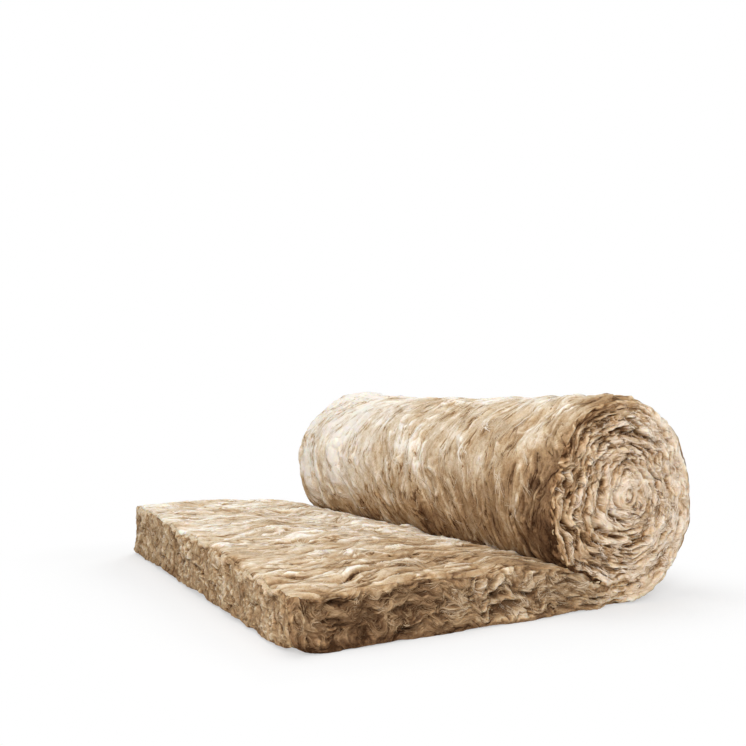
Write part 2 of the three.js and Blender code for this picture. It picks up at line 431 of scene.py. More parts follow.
def tail_height(x, y):
    """The tail springs back from the nip towards its free thickness."""
    free = NEAR_THICKNESS + (FAR_THICKNESS - NEAR_THICKNESS) * across_share(y)
    missing = free - NIP_HEIGHT
    full = free - missing * np.exp(-NIP_SLOPE * (NIP_X - x) / missing)
    loose = dip(x - CUT_X, y) + trough(x - CUT_X, y)
    return full - loose * (1 - step_up(x, NIP_X - RELIEF_FADE, NIP_X))


for edge_y in (NEAR_Y, FAR_Y):
    print(f"the cut is {tail_height(cut_x(edge_y), edge_y):.3f} high at y {edge_y:.2f}")

# %% [markdown]
# A roll of wool is no cylinder. Its far end and the top of its near one have swelled, it
# bulges like a heel where its near end leans on the tail, and its top sags a little. These
# are soft bumps, each a bell or a step along the width times another round the roll.

# %% Swellings and hollows of the roll
FAR_SWELLING, NEAR_SWELLING, HEEL = 0.010, 0.005, 0.020
SAG, SLUMP = 0.004, 0.006
ROLLED_SHARE = 0.6  # of the folds' depth, which is left on the roll


def swollen(angle, y):
    """How far the roll's face has swelled: round its far end, on top of its near one, and
    where the near one leans on the tail"""
    share = across_share(y)
    far_end = FAR_SWELLING * bell(share, 0.97, 0.12) * step_up(angle, 2.0, 2.8)
    near_end = NEAR_SWELLING * bell(share, 0.06, 0.07) * bell(angle, 3.1, 0.5)
    leaning = step_up(angle, 4.3, 5.1) * (1 - step_up(angle, 5.4, NIP_TURN))
    heel = HEEL * leaning * (1 - step_up(share, 0.0, 0.15))
    return (far_end + near_end) * (1 - step_up(angle, 5.2, 5.6)) + heel


def sunk_in(angle, y):
    """How far the roll's face has sunk: in the middle of its top, on the near end's right, and
    in dips, but not where it bears on the floor or on the tail. Below 0 it stands proud."""
    share = across_share(y)
    sagging = SAG * bell(share, 0.55, 0.22) * bell(angle, 3.3, 0.7)
    slumped = SLUMP * bell(angle, 2.2, 0.6) * (1 - step_up(share, 0.1, 0.6))
    free = step_up(angle, 0.1, 0.9) * (1 - step_up(angle, NIP_TURN - 0.9, NIP_TURN - 0.1))
    around = ROLL_RADIUS * angle
    loose = dip(around, y) + ROLLED_SHARE * trough(around, y)
    return (sagging + slumped + loose) * free - swollen(angle, y)


around_roll = np.linspace(0, NIP_TURN, 100)
for share in (0.0, 0.5, 1.0):
    sunk = sunk_in(around_roll, NEAR_Y + share * WIDTH)
    print(f"at {share:.1f} of the width the roll's face lies {sunk.min():.3f} to {sunk.max():.3f} deep")

# %% [markdown]
# The long edges of the mat aren't straight either. They lie in dips, the tail's edges flare
# out at the floor under its weight, and the far edge of the wound part stands out, because
# its turns slipped as they were wound. Where the roll meets the tail, both edges are pressed
# sharp, and the roll's near edge hangs over in rags.

# %% Long edges
FAR_BULGE = 0.030
BULGE_START = 0.08  # how far inside the far edge the wool begins to stand out
FLARE, FLARE_HEIGHT = 0.010, 0.035
RAGS = ((0.030, 0.005, 407), (0.009, 0.005, 408))  # size, reach, seed


def edge_dip(x, z):
    """How far a long edge of the mat lies inside the full width"""
    return 0.4 * dip(x - CUT_X, z)


def squeezed(points):
    """Draws the mat together across its width, so that its long edges get their dips"""
    share = points[:, 1] / (WIDTH / 2)
    points[:, 1] -= share * edge_dip(points[:, 0], points[:, 2])
    return points


def flare(z):
    return FLARE * bell(z, 0, FLARE_HEIGHT)


def far_slip(x):
    """How far the wound part's far edge stands out, and the layer under the roll with it"""
    return FAR_BULGE * step_up(x, NIP_X - 0.02, AXIS_X)


def frayed(angle, y):
    """How far the roll's near edge, which is ragged on the left, hangs out over its end"""
    rags = wander(ROLL_RADIUS * angle, 0 * y, *RAGS)
    return np.maximum(rags, 0) * (1 - step_up(y - NEAR_Y, 0.01, 0.05)) * step_up(angle, 3.4, 4.2)


def sharp(angle):
    """Added to the distance from the roll's edge, it takes the rounding off next to the tail."""
    return ROUNDING * step_up(angle, 4.4, 5.0)


def wedged(x):
    """The same for the tail's edge, next to the roll"""
    return ROUNDING * step_up(x, NIP_X - 0.10, NIP_X - 0.04)


print(f"the tail flares by {flare(0):.3f} at the floor, the far turns slip by {far_slip(AXIS_X):.3f}")

# %% [markdown]
# With these, each form is a few lines. The roll's is a spiral round its axis, and the tail's
# is a height over the floor. The cut end is a plane that is a little out of square, and the
# underside lies on the floor.

# %% The roll's outside
def roll_form(u, v):
    """u is metres round the roll from its lowest line, v is y."""
    angle = u / ROLL_RADIUS
    radius = AXIS_Z - TURN * angle / FULL_CIRCLE
    normals = vectors(np.sin(angle), 0, -np.cos(angle))
    y = v + FAR_BULGE * step_up(v, FAR_Y - BULGE_START, FAR_Y) - frayed(angle, v)
    radius = radius - sunk_in(angle, v)
    points = squeezed(vectors(AXIS_X, y, AXIS_Z) + normals * radius[:, None])
    near, far = v - NEAR_Y + sharp(angle), FAR_Y - v + sharp(angle)
    return turned_over(points, normals, (near, (0, -1, 0)), (far, (0, 1, 0)))


top_of_roll = roll_form(np.array([math.pi * ROLL_RADIUS]), np.array([0.0]))[0]
print("top of the roll, halfway along it:", np.round(top_of_roll, 3))

# %% The tail's top, the cut end and the underside
TAIL_END = NIP_X + 0.04  # the top goes on a little, under the roll
TAIL_LENGTH = TAIL_END - CUT_X
SLOPE_STEP = 0.002
CUT_HEIGHT = (NEAR_THICKNESS + FAR_THICKNESS) / 2


def tail_form(u, v):
    """u is metres from the cut end, v is y."""
    start = cut_x(v)
    x = start + u / TAIL_LENGTH * (TAIL_END - start)
    z = tail_height(x, v)
    slope_x = (tail_height(x + SLOPE_STEP, v) - z) / SLOPE_STEP
    slope_y = (tail_height(x, v + SLOPE_STEP) - z) / SLOPE_STEP
    normals = unit(vectors(-slope_x, -slope_y, 1))
    near, far = v - NEAR_Y + wedged(x), FAR_Y - v + wedged(x)
    edges = (near, (0, -1, 0)), (far, (0, 1, 0)), (u, (-1, 0, 0))
    return turned_over(squeezed(vectors(x, v, z)), normals, *edges)


def cut_form(u, v):
    """u is metres across the mat from its near edge, v is metres up the cut end."""
    y = NEAR_Y + u
    top = tail_height(cut_x(y), y)
    z = v / CUT_HEIGHT * top
    normals = unit(vectors(-1, CUT_SKEW / WIDTH, 0 * y))
    edges = (u, (0, -1, 0)), (WIDTH - u, (0, 1, 0)), (top - z, (0, 0, 1)), (z, (0, 0, -1))
    points = squeezed(vectors(cut_x(y), y, z))
    points[:, 1] += flare(z) * step_up(u, 0.9 * WIDTH, WIDTH)
    return turned_over(points, normals, *edges)


def underside_form(u, v):
    """u is metres from the cut end, v is y. The wool is pressed flat against the floor."""
    x = u + cut_x(v)
    y = v + far_slip(x) * step_up(v, FAR_Y - BULGE_START, FAR_Y)
    edge = np.minimum(np.minimum(v - NEAR_Y, FAR_Y - v), u)
    return squeezed(vectors(x, y, FLOOR_Z)), vectors(0 * u, 0, -1), edge


print(f"the tail's top is {TAIL_LENGTH:.3f} long, the cut {CUT_HEIGHT:.3f} high in the middle")

# %% [markdown]
# The sides are the mat's long edges: the side of the tail, and the end of the roll, where
# the turns show. Their map is simply the x and z of the object. The innermost turns are
# squeezed into a standing lens, because the mat's inner end is folded over there, and they
# lie a little to one side.

# %% Places on the winding
EYE_SQUEEZE = 0.25
EYE_SHIFT = 0.020
OUTLINE_SLACK = -0.001  # a turn number down to this still counts as on the roll


def winding_place(x, z):
    """How far a point is from the roll's axis, and its angle on the winding"""
    dx, dz = x - AXIS_X, z - AXIS_Z
    outline = AXIS_Z - TURN * (np.arctan2(dx, -dz) / FULL_CIRCLE % 1)
    inner = np.clip(1 - np.hypot(dx, dz) / outline, 0, 1)
    dx = dx * (1 + EYE_SQUEEZE * inner) - EYE_SHIFT * inner
    return np.hypot(dx, dz), np.arctan2(dx, -dz) % FULL_CIRCLE


def turn_number(x, z):
    """0 at the roll's outline, 1 a whole layer further in, and below 0 outside it"""
    radius, angle = winding_place(x, z)
    return (AXIS_Z - radius) / TURN - angle / FULL_CIRCLE


def tail_top_at(x):
    """The height of the mat's outer layer at its near edge, on the floor and under the roll"""
    under_roll = AXIS_Z - np.sqrt(np.maximum((AXIS_Z - TURN) ** 2 - (x - AXIS_X) ** 2, 0))
    return np.where(x < NIP_X, tail_height(x, NEAR_Y), under_roll)


print(f"turns from the roll's outline to its eye: {AXIS_Z / TURN:.1f}")

# %% The sides of the mat
def side_edges(u, v, angle, rolled):
    """How far a point of a side is from the roll's outline, the tail's top, the cut end and
    the floor, each with the direction in which the side turns over there"""
    rim = np.where(rolled, np.maximum(turn_number(u, v), 0) * TURN + sharp(angle), FAR_AWAY)
    top = np.where(rolled, FAR_AWAY, tail_top_at(u) - v + wedged(u))
    cut = np.where(rolled, FAR_AWAY, u - CUT_X)
    floor = np.where(rolled, FAR_AWAY, v + ROUNDING * (1 - step_up(u, AXIS_X - 0.2, AXIS_X)))
    radial = vectors(np.sin(angle), 0, -np.cos(angle))
    return (rim, radial), (top, (0, 0, 1)), (cut, (-1, 0, 0)), (floor, (0, 0, -1))


def side_form(u, v, y, out):
    """u and v are x and z. out is the side's direction, -1 for the near one and 1 for the far."""
    angle = winding_place(u, v)[1]
    rolled = (turn_number(u, v) > OUTLINE_SLACK) | (u > AXIS_X)
    sunk = sunk_in(angle, y) * np.hypot(u - AXIS_X, v - AXIS_Z) / ROLL_RADIUS * rolled
    y = y + out * (flare(v) - edge_dip(u, v))
    points = vectors(u, y, v) - vectors(np.sin(angle), 0, -np.cos(angle)) * sunk[:, None]
    under_cut = ROUNDING * (1 - np.sqrt(1 - np.clip(1 - v / ROUNDING, 0, 1) ** 2))
    strength = 0.7 - 0.3 * out  # the cut end is undercut fully at the near side, less at the far
    points[:, 0] += strength * under_cut * np.clip(1 - (u - CUT_X) / 0.08, 0, 1)
    return turned_over(points, vectors(0 * u, out, 0), *side_edges(u, v, angle, rolled))


def near_form(u, v):
    return side_form(u, v, NEAR_Y, -1)


def far_form(u, v):
    """The near side's form, moved and stretched to the far edge, with the turns' slip"""
    slip = np.where(turn_number(u, v) > OUTLINE_SLACK, FAR_BULGE, far_slip(u))
    points, normals, edge = side_form(u, v, FAR_Y + slip, 1)
    points[:, 0] += CUT_SKEW * np.clip((NIP_X - u) / (NIP_X - CUT_X), 0, 1)
    points[:, 2] *= np.where(u < NIP_X, tail_height(u, FAR_Y) / tail_height(u, NEAR_Y), 1)
    points[:, 1] += (edge_dip(u, v) - edge_dip(points[:, 0], points[:, 2])) * (u < NIP_X)
    return points, normals, edge


# %% [markdown]
# A turn of the roll is a rope-like ridge, and between two turns the surface drops into a
# groove. Its depth at a point follows from how close the border of the turn is. Borders on
# the outline of the mat don't count, because the form already rounds those.

# %% Grooves between the turns
def groove(x, z):
    turn, angle = turn_number(x, z), winding_place(x, z)[1]
    within = turn - np.floor(turn)
    in_tail = (turn < 0) & (x < AXIS_X)
    free_rim = (turn < 1) & (angle < NIP_TURN)
    outer = np.where(free_rim, FAR_AWAY, within * TURN)
    under_roll = np.where(x < NIP_X, FAR_AWAY, tail_top_at(x) - z)
    edge = np.where(in_tail, under_roll, np.minimum(outer, (1 - within) * TURN))
    sine = np.clip(1 - np.maximum(edge, 0) / ROUNDING, 0, 1)
    return ROUNDING * (1 - np.sqrt(1 - sine**2))


depths = [float(groove(AXIS_X + 0.1, AXIS_Z + inward)) for inward in (0.00, 0.01, 0.02, 0.03)]
print("groove depth at four places:", np.round(depths, 4))

# %% [markdown]
# ## Comb the roll
#
# Round the roll the wool lies with the winding, in broad soft folds. It is paler towards its
# far end. Down the flank that faces the tail, and most at that flank's far end by the nip, it
# is painted browner as shade, so the top stands out pale. One noise texture could colour it,
# but then the colour wouldn't follow the mat's form. So every change of tone has a part of the
# map to itself: a flank, a back, a rim, a hem at either end.

# %% Grain of the roll
ROLL_SPAN = (-0.03, (NIP_TURN + 0.25) * ROLL_RADIUS)
ROLL_BENDS = ((0.36, 0.06, 11), (0.14, 0.045, 12), (0.05, 0.012, 13))  # size, reach, seed


def roll_grain(u, v):
    """The wool runs round the roll at a slant, which turns back near the tail."""
    slant = 0.55 * np.hypot(u - 0.97, 0.08) * step_up(across_share(v), 0, 0.45)
    return v + slant + wander(u, v, *ROLL_BENDS)


roll_fleece = Fleece(ROLL_SPAN, (NEAR_Y, FAR_Y), 0.002, roll_grain)
print("map of the roll", roll_fleece.layers["grain"].shape)

# %% Tone of the roll
ROLL_BLOTCHES = ((0.12, 0.11, 14), (0.05, 0.15, 15), (0.024, 0.08, 17), (0.009, 0.04, 19))
u, v = roll_fleece.grid()
share = across_share(v)
# Painted shade: the flank that turns down towards the tail is made browner.
shaded_flank = step_up(u, 0.90, 1.18) * (1 - 0.60 * share)
back = 1 - step_up(u, 0.05, 0.35)
rim = 1 - step_up(share + wander(u, v, (0.09, 0.05, 10)), 0.02, 0.16)
hem = 1 - step_up(v - NEAR_Y, 0.008, 0.030)
far_edge_distance = FAR_Y - v + wander(u, v, (0.05, 0.014, 31), (0.015, 0.008, 32))
far_hem = 1 - step_up(far_edge_distance, 0.004, 0.034)
# Painted shade at the flank's far end, low by the nip
far_flank_shade = step_up(u, 1.12, 1.22) * step_up(share, 0.5, 0.9)
tone = 0.66 - 0.43 * shaded_flank - 0.25 * back + 0.34 * share**2 - 0.22 * rim
tone = tone - 0.07 * hem * (1 - shaded_flank)
tone = tone - 0.24 * far_hem
tone = tone - 0.25 * far_flank_shade
tone = tone + wander(u, v, *ROLL_BLOTCHES)
roll_fleece.layers["tone"] += tone + 0.08 * roll_fleece.locks(0.012, 3, 16)
roll_fleece.layers["tone"] += 0.12 * shaded_flank * roll_fleece.locks(0.020, 5, 8)
# The flank's painted shade is made redder too.
roll_fleece.layers["warmth"] += 0.5 * shaded_flank
print(f"mean tone of the roll {tone.mean():.2f}")

# %% [markdown]
# The relief goes on from coarse to fine: puffs, which are ruffled in some places and combed
# smooth in others, wrinkles, sheets in two sizes, and last the slits that the handling tore.

# %% Relief of the roll
ruffled = step_up(wander(u, v, (0.10, 1, 18), (0.04, 0.5, 9)), -0.2, 0.7)
fluff(roll_fleece, 20, (0.045, 2.2, 0.003), (0.024, 2.2, 0.001 + 0.003 * ruffled))
fluff(roll_fleece, 22, (0.011, 1.8, 0.002 * ruffled))
wrinkle(roll_fleece, 23, breadth=0.026, stretch=4, height=0.003, shade=0.10)
wrinkle(roll_fleece, 24, breadth=0.012, stretch=3, height=0.001, shade=0.08)
lay_sheets(
    roll_fleece, 25, 200, length=(0.06, 0.16), breadth=(0.02, 0.06), lift=(0.002, 0.005), shade=0.14
)
lay_sheets(
    roll_fleece, 26, 260, length=(0.03, 0.08), breadth=(0.010, 0.03), lift=(0.002, 0.004), shade=0.14
)
places = random_pixels(roll_fleece, np.random.default_rng(27), 150)
cut_slits(roll_fleece, 28, places, length=(0.015, 0.06), breadth=(0.003, 0.007), depth=(0.003, 0.006))
finish_fleece(roll_fleece, contrast=0.5, lumps=[(0.07, 0.002, 30)], level=50)
print(f"relief of the roll {np.ptp(roll_fleece.layers['height']):.4f} in all")

# %% [markdown]
# ## Comb the tail
#
# The top of the tail is drawn out along the mat in long wavy ridges. At the cut end this
# pale layer is torn: in places it hangs over the edge like a tongue, and in others the cut
# bites into it. A separate piece of mesh could hang there, but its border would show, so the
# tongue is one line that the tail's map and the cut end's map both read.

# %% Grain of the tail
TAIL_BENDS = ((0.30, 0.035, 31), (0.10, 0.020, 32), (0.04, 0.007, 33))
NEAR_BEND = (0.13, 0.030, 38)
TONGUE_BENDS = ((0.11, 0.012, 71), (0.045, 0.018, 72), (0.016, 0.008, 73))


def nearness(y):
    """1 along the near edge, 0 from the middle of the mat on"""
    return 1 - step_up(across_share(y), 0.1, 0.55)


def tail_grain(u, v):
    return v + wander(u, v, *TAIL_BENDS) + nearness(v) * wander(u, v, NEAR_BEND)


def tongue(y):
    """How far the top layer hangs down over the cut end. Where it's negative, it's missing."""
    return 0.006 + wander(y, 0 * y, *TONGUE_BENDS)


tail_fleece = Fleece((0, TAIL_LENGTH), (NEAR_Y, FAR_Y), 0.002, tail_grain)
print("map of the tail", tail_fleece.layers["grain"].shape)

# %% Tone of the tail
TAIL_BLOTCHES = ((0.09, 0.08, 34), (0.04, 0.09, 35), (0.009, 0.03, 37))
u, v = tail_fleece.grid()
near = nearness(v)
# Painted shade: the top is made browner next to the nip, under the roll that overhangs it.
nip_shade = step_up(u, 0.62, 0.72)
near_right = near * step_up(u, 0.22, 0.40)
tone = 0.72 - 0.30 * nip_shade - 0.17 * near - 0.13 * near_right
tone = tone + wander(u, v, *TAIL_BLOTCHES)
tail_fleece.layers["tone"] += tone + 0.08 * tail_fleece.locks(0.007, 5, 36)
print(f"mean tone of the tail {tone.mean():.2f}")

# %% Relief of the tail
fluff(tail_fleece, 39, (0.050, 3, 0.003), (0.024, 4, 0.003 + 0.001 * near))
fluff(tail_fleece, 41, (0.011, 4, 0.002))
wrinkle(tail_fleece, 42, breadth=0.018, stretch=6, height=0.003, shade=0.08)
wrinkle(tail_fleece, 44, breadth=0.009, stretch=6, height=0.001, shade=0.08)
lay_sheets(
    tail_fleece, 45, 160, length=(0.06, 0.16), breadth=(0.02, 0.04), lift=(0.002, 0.005), shade=0.12
)
lay_sheets(
    tail_fleece, 46, 200, length=(0.03, 0.08), breadth=(0.008, 0.020), lift=(0.002, 0.004), shade=0.12
)
places = random_pixels(tail_fleece, np.random.default_rng(47), 130)
cut_slits(tail_fleece, 48, places, length=(0.02, 0.09), breadth=(0.004, 0.009), depth=(0.004, 0.008))
finish_fleece(tail_fleece, contrast=0.75, lumps=[(0.06, 0.001, 50)], level=50)
bite = step_up(-tongue(v) - u, -0.002, 0.004)
tail_fleece.layers["tone"] -= 0.25 * bite
tail_fleece.layers["height"] -= 0.006 * bite
print(f"the cut bites into {100 * bite[:2].mean():.0f}% of the tail's edge")

# %% [markdown]
# ## Comb the cut end
#
# The cut end is chopped fibre that curls every way. Short hairs could be scattered over it,
# but the curls are what shows. Its grain has no main direction: the contour lines of plain
# noise are loops, and so are the locks that follow them.

# %% Grain and tone of the cut end
CUT_BENDS = ((0.055, 0.035, 51), (0.022, 0.014, 52), (0.010, 0.004, 53))
CUT_BLOTCHES = ((0.06, 0.09, 54), (0.022, 0.09, 55))


def cut_grain(u, v):
    return wander(u, v, *CUT_BENDS)


cut_fleece = Fleece((0, WIDTH), (0, CUT_HEIGHT), 0.0015, cut_grain)
u, v = cut_fleece.grid()
layers = cut_fleece.layers
layers["tone"] += 0.43 - 0.12 * (1 - step_up(v, 0.0, 0.03))
layers["tone"] += wander(u, v, *CUT_BLOTCHES)
layers["tone"] += 0.05 * cut_fleece.locks(0.004, 3, 64)
print("map of the cut end", layers["grain"].shape, f"mean tone {layers['tone'].mean():.2f}")

# %% Relief of the cut end
fluff(cut_fleece, 56, (0.018, 1.5, 0.005))
for seed in (57, 65, 67):
    wrinkle(cut_fleece, seed, breadth=0.006, stretch=3, height=0.003, shade=0.04)
places = random_pixels(cut_fleece, np.random.default_rng(60), 260)
cut_slits(cut_fleece, 61, places, length=(0.008, 0.024), breadth=(0.004, 0.010), depth=(0.003, 0.009))
below_top = CUT_HEIGHT - v
hanging = step_up(tongue(NEAR_Y + u) - below_top, -0.002, 0.003)
layers["height"] = layers["height"] * (1 - 0.6 * hanging) + 0.007 * hanging
finish_fleece(cut_fleece, contrast=0.5, lumps=[(0.08, 0.006, 62), (0.03, 0.003, 63)])
layers["height"] = layers["height"] * step_up(v, 0, 0.02)
layers["tone"] += (0.66 - layers["tone"]) * 0.7 * hanging
print(f"tongues cover {100 * hanging.mean():.1f}% of the cut end")

# %% [markdown]
# ## Comb the sides
#
# On the long edges the layers of the mat show. Below the pale lip of its top layer the tail
# is a row of ragged curls with deep pits between them. In the roll the curls are pressed
# into ropes that follow the winding, and some turns part from each other. Both lie in one
# map, because the outer turn runs on into the tail without a border.

# %% Grain of the sides
SIDE_BENDS = ((0.07, 0.027, 81), (0.032, 0.016, 82), (0.012, 0.004, 83))


def rolledness(u, v):
    """1 on the end of the roll, 0 on the side of the tail, and soft between them"""
    return np.maximum(step_up(turn_number(u, v), -0.15, 0.15), step_up(u, NIP_X, AXIS_X))


def side_grain(u, v):
    """Round the axis on the roll, level on the tail, upright at the cut's corner, and drawn
    together where the roll presses the tail"""
    radius, _ = winding_place(u, v)
    pressed = NEAR_THICKNESS / tail_top_at(np.minimum(u, NIP_X)) - 1
    squash = 1 + pressed * (1 - step_up(u, NIP_X, AXIS_X))
    depth = np.where((turn_number(u, v) > 0) | (u > AXIS_X), radius, AXIS_Z - v * squash)
    corner = 1 - step_up(u, CUT_X + 0.01, CUT_X + 0.05)
    depth = depth * (1 - corner) + (u - CUT_X + 0.17) * corner
    loose = 1 - 0.65 * step_up(u, NIP_X - 0.16, NIP_X + 0.02)
    return depth + loose * wander(u, v, *SIDE_BENDS)


# %% [markdown]
# The roll's end is warmer and paler than the side of the tail. The left of its rim is painted
# darker, as the shade below the rags that hang over it, and the right of it is painted paler,
# as light. Both sides of the mat are combed in the same way, each from a seed of its own, and a
# number that is added to the seed gives one more noise of the same side.

# %% Tone of the sides
def tone_side(fleece, seed):
    u, v = fleece.grid()
    rolled = rolledness(u, v)
    right = step_up(u, CUT_X + 0.30, CUT_X + 0.55)
    left = step_up(CUT_X + 0.35 - u, 0, 0.2)
    corner = 1 - step_up(u, CUT_X + 0.02, CUT_X + 0.06)
    angle, turn = winding_place(u, v)[1], turn_number(u, v)
    # rim paints shade on the left of the roll end's rim, and lit paints light on its right
    rim = 1 - step_up(turn, 1.5, 3.0) + 0.4 * bell(turn, 0, 0.5)
    rim = rim * step_up(angle, 3.0, 3.7) * (1 - step_up(angle, 5.2, 6.1)) * rolled
    lit = rolled * (1 - step_up(turn, 1, 2.5)) * (1 - step_up(angle, 2.4, 3.2))
    tone = fleece.layers["tone"]
    tone += 0.29 + 0.28 * rolled + 0.12 * right
    tone += 0.14 * corner
    tone += 0.21 * lit - 0.31 * rim - 0.04 * rolled - 0.08 * left
    tone += wander(u, v, (0.07, 0.08, seed + 1), (0.025, 0.08, seed + 2))
    tone += (0.10 + 0.04 * right) * fleece.locks(0.010, 4, seed + 3)
    fleece.layers["warmth"] += rolled
    return 0.26 + 0.44 * np.maximum(rolled, 0.4 * right)


# %% [markdown]
# Curls, flakes and strands are the same puffs, wrinkles and sheets as on the other faces, in
# smaller sizes. Only where they lie is new: pits come between two layers of curls, wide gaps
# in the grooves of the winding, and narrow ones all over the roll's end.

# %% Places for pits and gaps
LAYER_BORDERS = [0.15, 0.26, 0.47, 0.72]  # shares of the tail's height


def tail_places(rng, count):
    """Random places on the side of the tail, most of them between two layers of curls"""
    u = rng.uniform(CUT_X + 0.05, AXIS_X - 0.05, count)
    share = rng.choice(LAYER_BORDERS, count) + rng.normal(0, 0.05, count)
    return u, share * np.minimum(tail_height(u, NEAR_Y), NEAR_THICKNESS)


def round_axis(angle, radius):
    """The x and z of a point at this angle on the winding"""
    return AXIS_X + radius * np.sin(angle), AXIS_Z - radius * np.cos(angle)


def groove_places(rng, count):
    """Random places in the groove between two turns"""
    angle = rng.uniform(0, FULL_CIRCLE, count)
    return round_axis(angle, AXIS_Z - TURN * (rng.integers(1, 6, count) + angle / FULL_CIRCLE))


def disc_places(rng, count):
    """Random places all over the end of the roll"""
    angle = rng.uniform(0, FULL_CIRCLE, count)
    return round_axis(angle, (ROLL_RADIUS - 0.8 * TURN) * np.sqrt(rng.uniform(0, 1, count)))


# %% Relief of the sides
def raise_curls(fleece, seed, rolled, loose):
    """Puffs, wrinkles, short sheets, and long strands on the end of the roll"""
    u, v = fleece.grid()
    bumps = wander(u, v, (0.05, 0.010, seed + 17), (0.022, 0.006, seed + 18))
    fleece.layers["height"] += loose * bumps
    fluff(fleece, seed + 4, (0.020, 2.2, 0.002 * rolled), (0.012, 1.8, 0.008 * loose))
    fluff(fleece, seed + 6, (0.010, 4.5, 0.004 * rolled), (0.006, 2.5, 0.003))
    wrinkle(fleece, seed + 20, breadth=0.010, stretch=3.5, height=0.003, shade=0.10)
    wrinkle(fleece, seed + 22, breadth=0.006, stretch=3.5, height=0.003, shade=0.10)
    lay_sheets(
        fleece, seed + 24, 460, length=(0.02, 0.05), breadth=(0.005, 0.011), lift=(0.002, 0.005),
        shade=0.16,
    )
    strands = pixels_at(fleece, *disc_places(np.random.default_rng(seed + 25), 300))
    lay_sheets(
        fleece, seed + 26, 300, length=(0.04, 0.10), breadth=(0.004, 0.008), lift=(0.001, 0.003),
        shade=0.12, places=strands,
    )


def open_gaps(fleece, seed):
    """Pits in the tail, parted turns, and the gaps between flakes on the end of the roll"""
    rng = np.random.default_rng(seed)
    pits = pixels_at(fleece, *tail_places(rng, 60))
    cut_slits(fleece, seed + 8, pits, (0.02, 0.06), (0.010, 0.020), (0.006, 0.013))
    parted_turns = pixels_at(fleece, *groove_places(rng, 50))
    cut_slits(fleece, seed + 9, parted_turns, (0.03, 0.07), (0.006, 0.014), (0.010, 0.020))
    flake_gaps = pixels_at(fleece, *disc_places(rng, 420))
    cut_slits(fleece, seed + 23, flake_gaps, (0.016, 0.050), (0.0025, 0.0055), (0.005, 0.011))


# %% [markdown]
# The mat's top layer is pale and felted, and hangs over the side as a lip, with shade below
# it. Along the floor the wool is trodden flat and painted dark, and near the cut corner its
# foot is painted browner: both are painted shade under the mat's lower edge.

# %% Lip and trodden layer
LIP_BENDS = ((0.11, 0.014, 84), (0.045, 0.010, 85), (0.016, 0.005, 86))
LIP_TONE, TRODDEN_SHADE_TONE = 0.54, 0.12


def lip(x):
    """How far the pale top layer hangs down over the side of the tail"""
    torn = 0.028 * step_up(x, CUT_X + 0.22, CUT_X + 0.40)
    return 0.014 - torn + wander(x, 0 * x, *LIP_BENDS)


def hang_lip(fleece, seed, rolled):
    u, v = fleece.grid()
    layers = fleece.layers
    below_top = tail_top_at(u) - v
    on_tail = (1 - rolled) * (u < NIP_X + 0.02)
    frayed_lip = lip(u) + 0.006 * fleece.locks(0.005, 3, seed + 7)
    hanging = step_up(frayed_lip - below_top, -0.008, 0.008) * on_tail
    shadowed = np.exp(-np.maximum(below_top - lip(u), 0) / 0.012) * on_tail * (1 - hanging)
    layers["height"] -= 0.004 * shadowed
    layers["height"] = layers["height"] * (1 - 0.6 * hanging) + 0.004 * hanging
    layers["tone"] += (LIP_TONE - layers["tone"]) * 0.7 * hanging


def tread_down(fleece, seed, loose):
    u, v = fleece.grid()
    layers = fleece.layers
    uneven = v + wander(u, 0 * v, (0.05, 0.004, seed + 19))
    # The trodden strip is flattened, and painted dark as shade under the mat's edge.
    trodden_shaded = loose * (1 - step_up(uneven, 0.004, 0.016))
    layers["height"] = layers["height"] * (1 - 0.8 * trodden_shaded) + 0.001 * trodden_shaded
    layers["tone"] += (TRODDEN_SHADE_TONE - layers["tone"]) * 0.7 * trodden_shaded
    # Painted shade: a browner patch along the floor by the cut corner
    floor_shade = 1 - step_up(v + wander(u, v, (0.04, 0.014, seed + 27)), 0.015, 0.050)
    layers["tone"] -= 0.16 * floor_shade * (1 - step_up(u, CUT_X + 0.08, CUT_X + 0.24))


# %% [markdown]
# The last step presses the spiral in. Perfect grooves would look turned on a lathe, so the
# inner ones drift and part, and they are shallower where the tail bears on the roll, on the
# crest of the outer turn, and in the eye, where the mat's end fills everything.

# %% Turns of the roll
def part_turns(fleece, seed):
    u, v = fleece.grid()
    (radius, angle), turn = winding_place(u, v), turn_number(u, v)
    inner = step_up((AXIS_Z - radius) / TURN, 1.1, 1.8)
    pressed = bell(turn, 0, 0.4) * step_up(angle, NIP_TURN - 0.1, NIP_TURN + 0.05)
    drift_u = inner * wander(u, v, (0.09, 0.014, seed + 12), (0.03, 0.009, seed + 13))
    drift_v = inner * wander(u, v, (0.09, 0.014, seed + 14), (0.03, 0.009, seed + 15))
    parted = 0.8 + wander(u, v, (0.06, 0.5, seed + 16))
    crest = bell(turn, 1, 0.6) * bell(angle, 3.2, 0.9)
    core = 1 - step_up(radius, 0.015, 0.050)
    recess = groove(u + drift_u, v + drift_v) * (1 - inner + inner * parted)
    recess = recess * (1 - 0.6 * pressed) * (1 - 0.5 * crest) * (1 - 0.6 * core)
    fleece.layers["height"] -= recess
    # The grooves are painted darker too, as the shade in them.
    fleece.layers["tone"] -= 0.5 * recess / ROUNDING
    return recess


